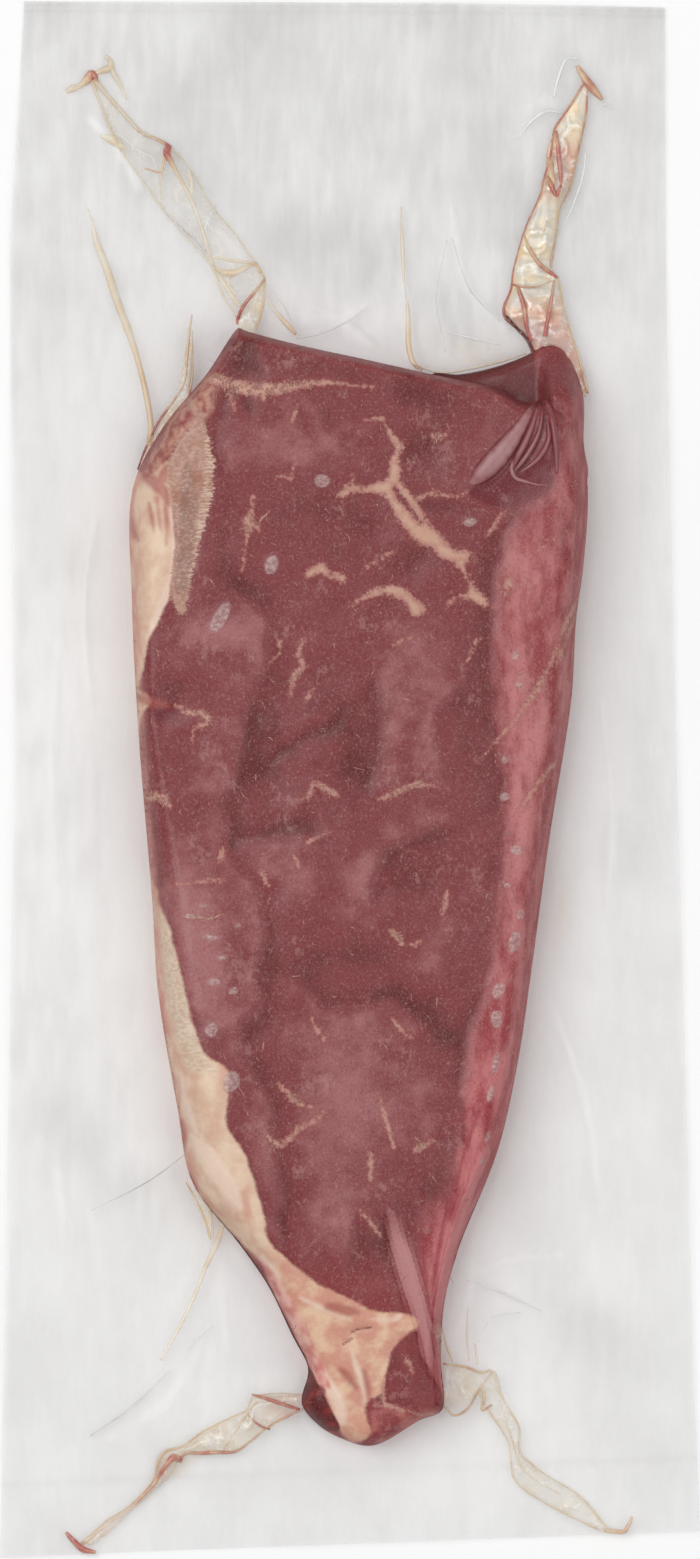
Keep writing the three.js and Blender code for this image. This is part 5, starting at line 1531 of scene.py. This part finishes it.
def fold_material():
    """Film folds over the meat: a painted highlight of pale mauve on the crest and painted shade of dark red at the
    foot.
    """
    s = Shader("fold")
    streak, fine = s.noise(1.6, 3), s.noise(0.5, 3)
    # the side of the tube that faces up gets the painted highlight, its foot the painted shade
    crest = s.add("crest", s.spread(streak, 0.7))
    colour = s.lay("dark grain", "fold side", crest, -0.2, 0.6)
    pale = s.times(s.ramp(crest, 0.1, 1.0), "strength")
    colour = s.mix(pale, colour, s.mix(streak, "lit fold crest", "pale lit fold crest"))
    s.set(
        Base_Color=s.lay(colour, "fold speck", fine, 0.5, 0.75, 0.25),
        Roughness=0.45,
        Coat_Weight=0.3,
        Coat_Roughness=0.3,
        Normal=s.bump(fine, 0.06),
    )
    return s.material


def film_material():
    """Clear film, faintly milky and drawn in fine streaks along the bag, with patches of painted sheen, greyer to the
    top.
    """
    s = Shader("film")
    streaks = s.noise(1.8, 4, (1, 6, 1), 0.55)
    cloud, sheen = s.noise(24, 3), s.noise(9, 3, (1, 2.4, 1))
    veil = s.times("veil", s.ramp(s.add(cloud, streaks), 0.75, 1.2, 0.5, 1.2))
    # fold is the bands of painted shade, which make the film greyer
    haze = s.add(
        s.ramp(streaks, 0.25, 0.75, 0.13, 0.146), s.ramp(cloud, 0.3, 0.7, -0.02, 0.024), s.times("fold", 0.07),
        s.ramp(sheen, 0.4, 0.7, -0.008, 0.03), s.times("crease", 0.03), s.times("seal", 0.1), s.times(veil, 0.03),
        s.times("stain", 0.1),
    )
    colour = s.mix(veil, "film", "grey film")
    # Painted sheen: white patches, whiter as painted highlights on the creases
    colour = s.lay(colour, "film highlight", s.add(sheen, s.times("crease", 0.35)), 0.5, 1.1)
    s.set(
        Base_Color=s.mix(s.times("stain", s.ramp(streaks, 0.35, 0.6, 0.2, 0.8)), colour, "stain"),
        Alpha=s.times(haze, "beside"),
        Roughness=0.2,
        Specular_IOR_Level=0.9,
        Normal=s.bump(streaks, 0.025),
    )
    return s.material


def juice_material():
    """Thin meat juice held in puckered film: clear to pale yellow, pinker where it has blood, with painted glints on
    its pleats.
    """
    s = Shader("juice")
    cloud, fine = s.noise(4.5, 3), s.noise(0.8, 3)
    pink = s.add("redness", s.spread(cloud, 0.7))
    # Painted glints: white on the pleats of the film
    painted_glint = s.times("crease", s.ramp(fine, 0.3, 0.6))
    rim = s.times(s.ramp("edge", 1.3, 0.1), s.ramp(fine, 0.25, 0.6, 0.5, 1))
    colour = s.lay("clear juice", "yellow juice", cloud, 0.35, 0.7)
    colour = s.lay(colour, "pink juice", pink, 0.3, 0.9, 0.8)
    colour = s.lay(colour, "red juice", pink, 1.0, 1.5, 0.85)
    colour = s.mix(s.times(painted_glint, 0.8), colour, "painted_glint")
    body = s.add("body", s.times(rim, 0.08), s.times(painted_glint, 0.3))
    body = s.times(body, s.ramp(cloud, 0.3, 0.7, 0.7, 1.3))
    s.set(
        Base_Color=s.mix(s.times(rim, 0.45), colour, "juice rim"),
        Alpha=s.times(body, s.ramp("upper", 0, 1, 0.15, 1)),
        Roughness=0.12,
        Specular_IOR_Level=1.0,
        Normal=s.bump(fine, 0.08),
    )
    return s.material


def seam_material():
    """Juice drawn into the folds of the film: yellow where it is thin, brown and red where it is thick."""
    s = Shader("seam")
    fine = s.noise(0.7, 3)
    tone = s.add("strength", s.spread(s.noise(3.5, 4), 0.9))
    colour = s.lay("pale seam", "seam", tone, 0.0, 0.5)
    colour = s.lay(colour, "pink seam", tone, 0.4, 0.9)
    colour = s.lay(colour, "dark seam", tone, 0.95, 1.4)
    s.set(
        Base_Color=s.lay(colour, "seam speck", fine, 0.5, 0.8, 0.4),
        Alpha=s.times(s.ramp(tone, 0.0, 0.9, 0.4, 0.92), s.ramp("crest", -0.1, 0.6, 0.25, 1)),
        Roughness=0.2,
        Specular_IOR_Level=0.8,
        Normal=s.bump(fine, 0.05),
    )
    return s.material


def crease_material():
    """Sharp creases of clear film: white where they catch the light, otherwise grey."""
    s = Shader("crease")
    fine = s.noise(2.5, 3)
    s.set(
        Base_Color=s.lay("white crease", "grey crease", s.add("strength", s.spread(fine, 0.3)), 0, 0.4),
        Alpha=s.ramp(fine, 0.3, 0.7, 0.45, 0.75),
        Roughness=0.15,
        Specular_IOR_Level=1.0,
    )
    return s.material


def floor_material():
    """A plain pale floor."""
    s = Shader("floor")
    s.set(Base_Color=s.mix(s.noise(180, 2), (0.93, 0.93, 0.93, 1), (0.95, 0.95, 0.95, 1)), Roughness=0.9)
    return s.material


# The pack

meat, film, juice = meat_material(), film_material(), juice_material()
cushion("steak_slab", SLAB_OUTLINE, SLAB_CORNERS, STEAK_SPINE, SLAB_GRID, slab_top, meat)
cushion("steak_flap", FLAP_OUTLINE, FLAP_CORNERS, FLAP_SPINE, FLAP_GRID, flap_top, meat)
tubes("marbling", marbling_lines(), slab_surface, MARBLING_SIDES, marbling_material(), "steak")
tubes("corner_folds", folds_of_film(FOLDS), fold_bed, TUBE_SIDES, fold_material(), "bag")
film_sheet("film_top", TOP_FILM_GRID, 0, film)
film_sheet("film_bottom", BOTTOM_FILM_GRID, FILM_THICKNESS, film)
for channel_name, form in CHANNELS.items():
    channel("juice_" + channel_name, form, juice)
seams, creases = (folds_of_film(rows, SEAM_SLIMNESS) for rows in (SEAMS, GREY_SEAMS))
tubes("juice_seams", seams, film_ground, TUBE_SIDES, seam_material(), "bag")
tubes("film_creases", creases, film_ground, TUBE_SIDES, crease_material(), "bag")

# Floor, light and camera, in metres and watts

FLOOR_SIZE = 4.0
CAMERA_HEIGHT = 5.0
SENSOR = 36.0  # mm
LAMP_SIZE = 1.8
LAMPS = {"key": ((-0.95, 0.6, 2.1), 32.5), "fill": ((1.0, -0.4, 2.0), 17.4)}
SKY_STRENGTH = 0.35
LAYERS_SEEN_THROUGH = 32  # folds of film lie over each other, and the light passes them going in and coming out

scene = bpy.context.scene
half = FLOOR_SIZE / 2
floor_mesh = bpy.data.meshes.new("floor")
floor_mesh.from_pydata([(-half, -half, 0), (half, -half, 0), (half, half, 0), (-half, half, 0)], [], [(0, 1, 2, 3)])
floor_mesh.materials.append(floor_material())
floor = bpy.data.objects.new("floor", floor_mesh)
scene.collection.objects.link(floor)

for name, (place, power) in LAMPS.items():
    light = bpy.data.lights.new(name, "AREA")
    light.shape = "SQUARE"
    light.size = LAMP_SIZE
    light.energy = power
    lamp = bpy.data.objects.new(name, light)
    lamp.location = place
    lamp.rotation_euler = (-Vector(place)).to_track_quat("-Z", "Y").to_euler()
    scene.collection.objects.link(lamp)

world = bpy.data.worlds.new("world")
world.use_nodes = True
sky = world.node_tree.nodes["Background"].inputs
sky["Color"].default_value = (1, 1, 1, 1)
sky["Strength"].default_value = SKY_STRENGTH
scene.world = world
scene.view_settings.view_transform = "Standard"
scene.cycles.transparent_max_bounces = LAYERS_SEEN_THROUGH

frame_height = PHOTO_PIXELS[1] * MM_PER_PIXEL * MM
camera_data = bpy.data.cameras.new("camera")
camera_data.sensor_fit = "VERTICAL"
camera_data.sensor_height = SENSOR
camera_data.lens = SENSOR * CAMERA_HEIGHT / frame_height
camera = bpy.data.objects.new("camera", camera_data)
camera.location = (0, 0, CAMERA_HEIGHT)
scene.collection.objects.link(camera)
scene.camera = camera
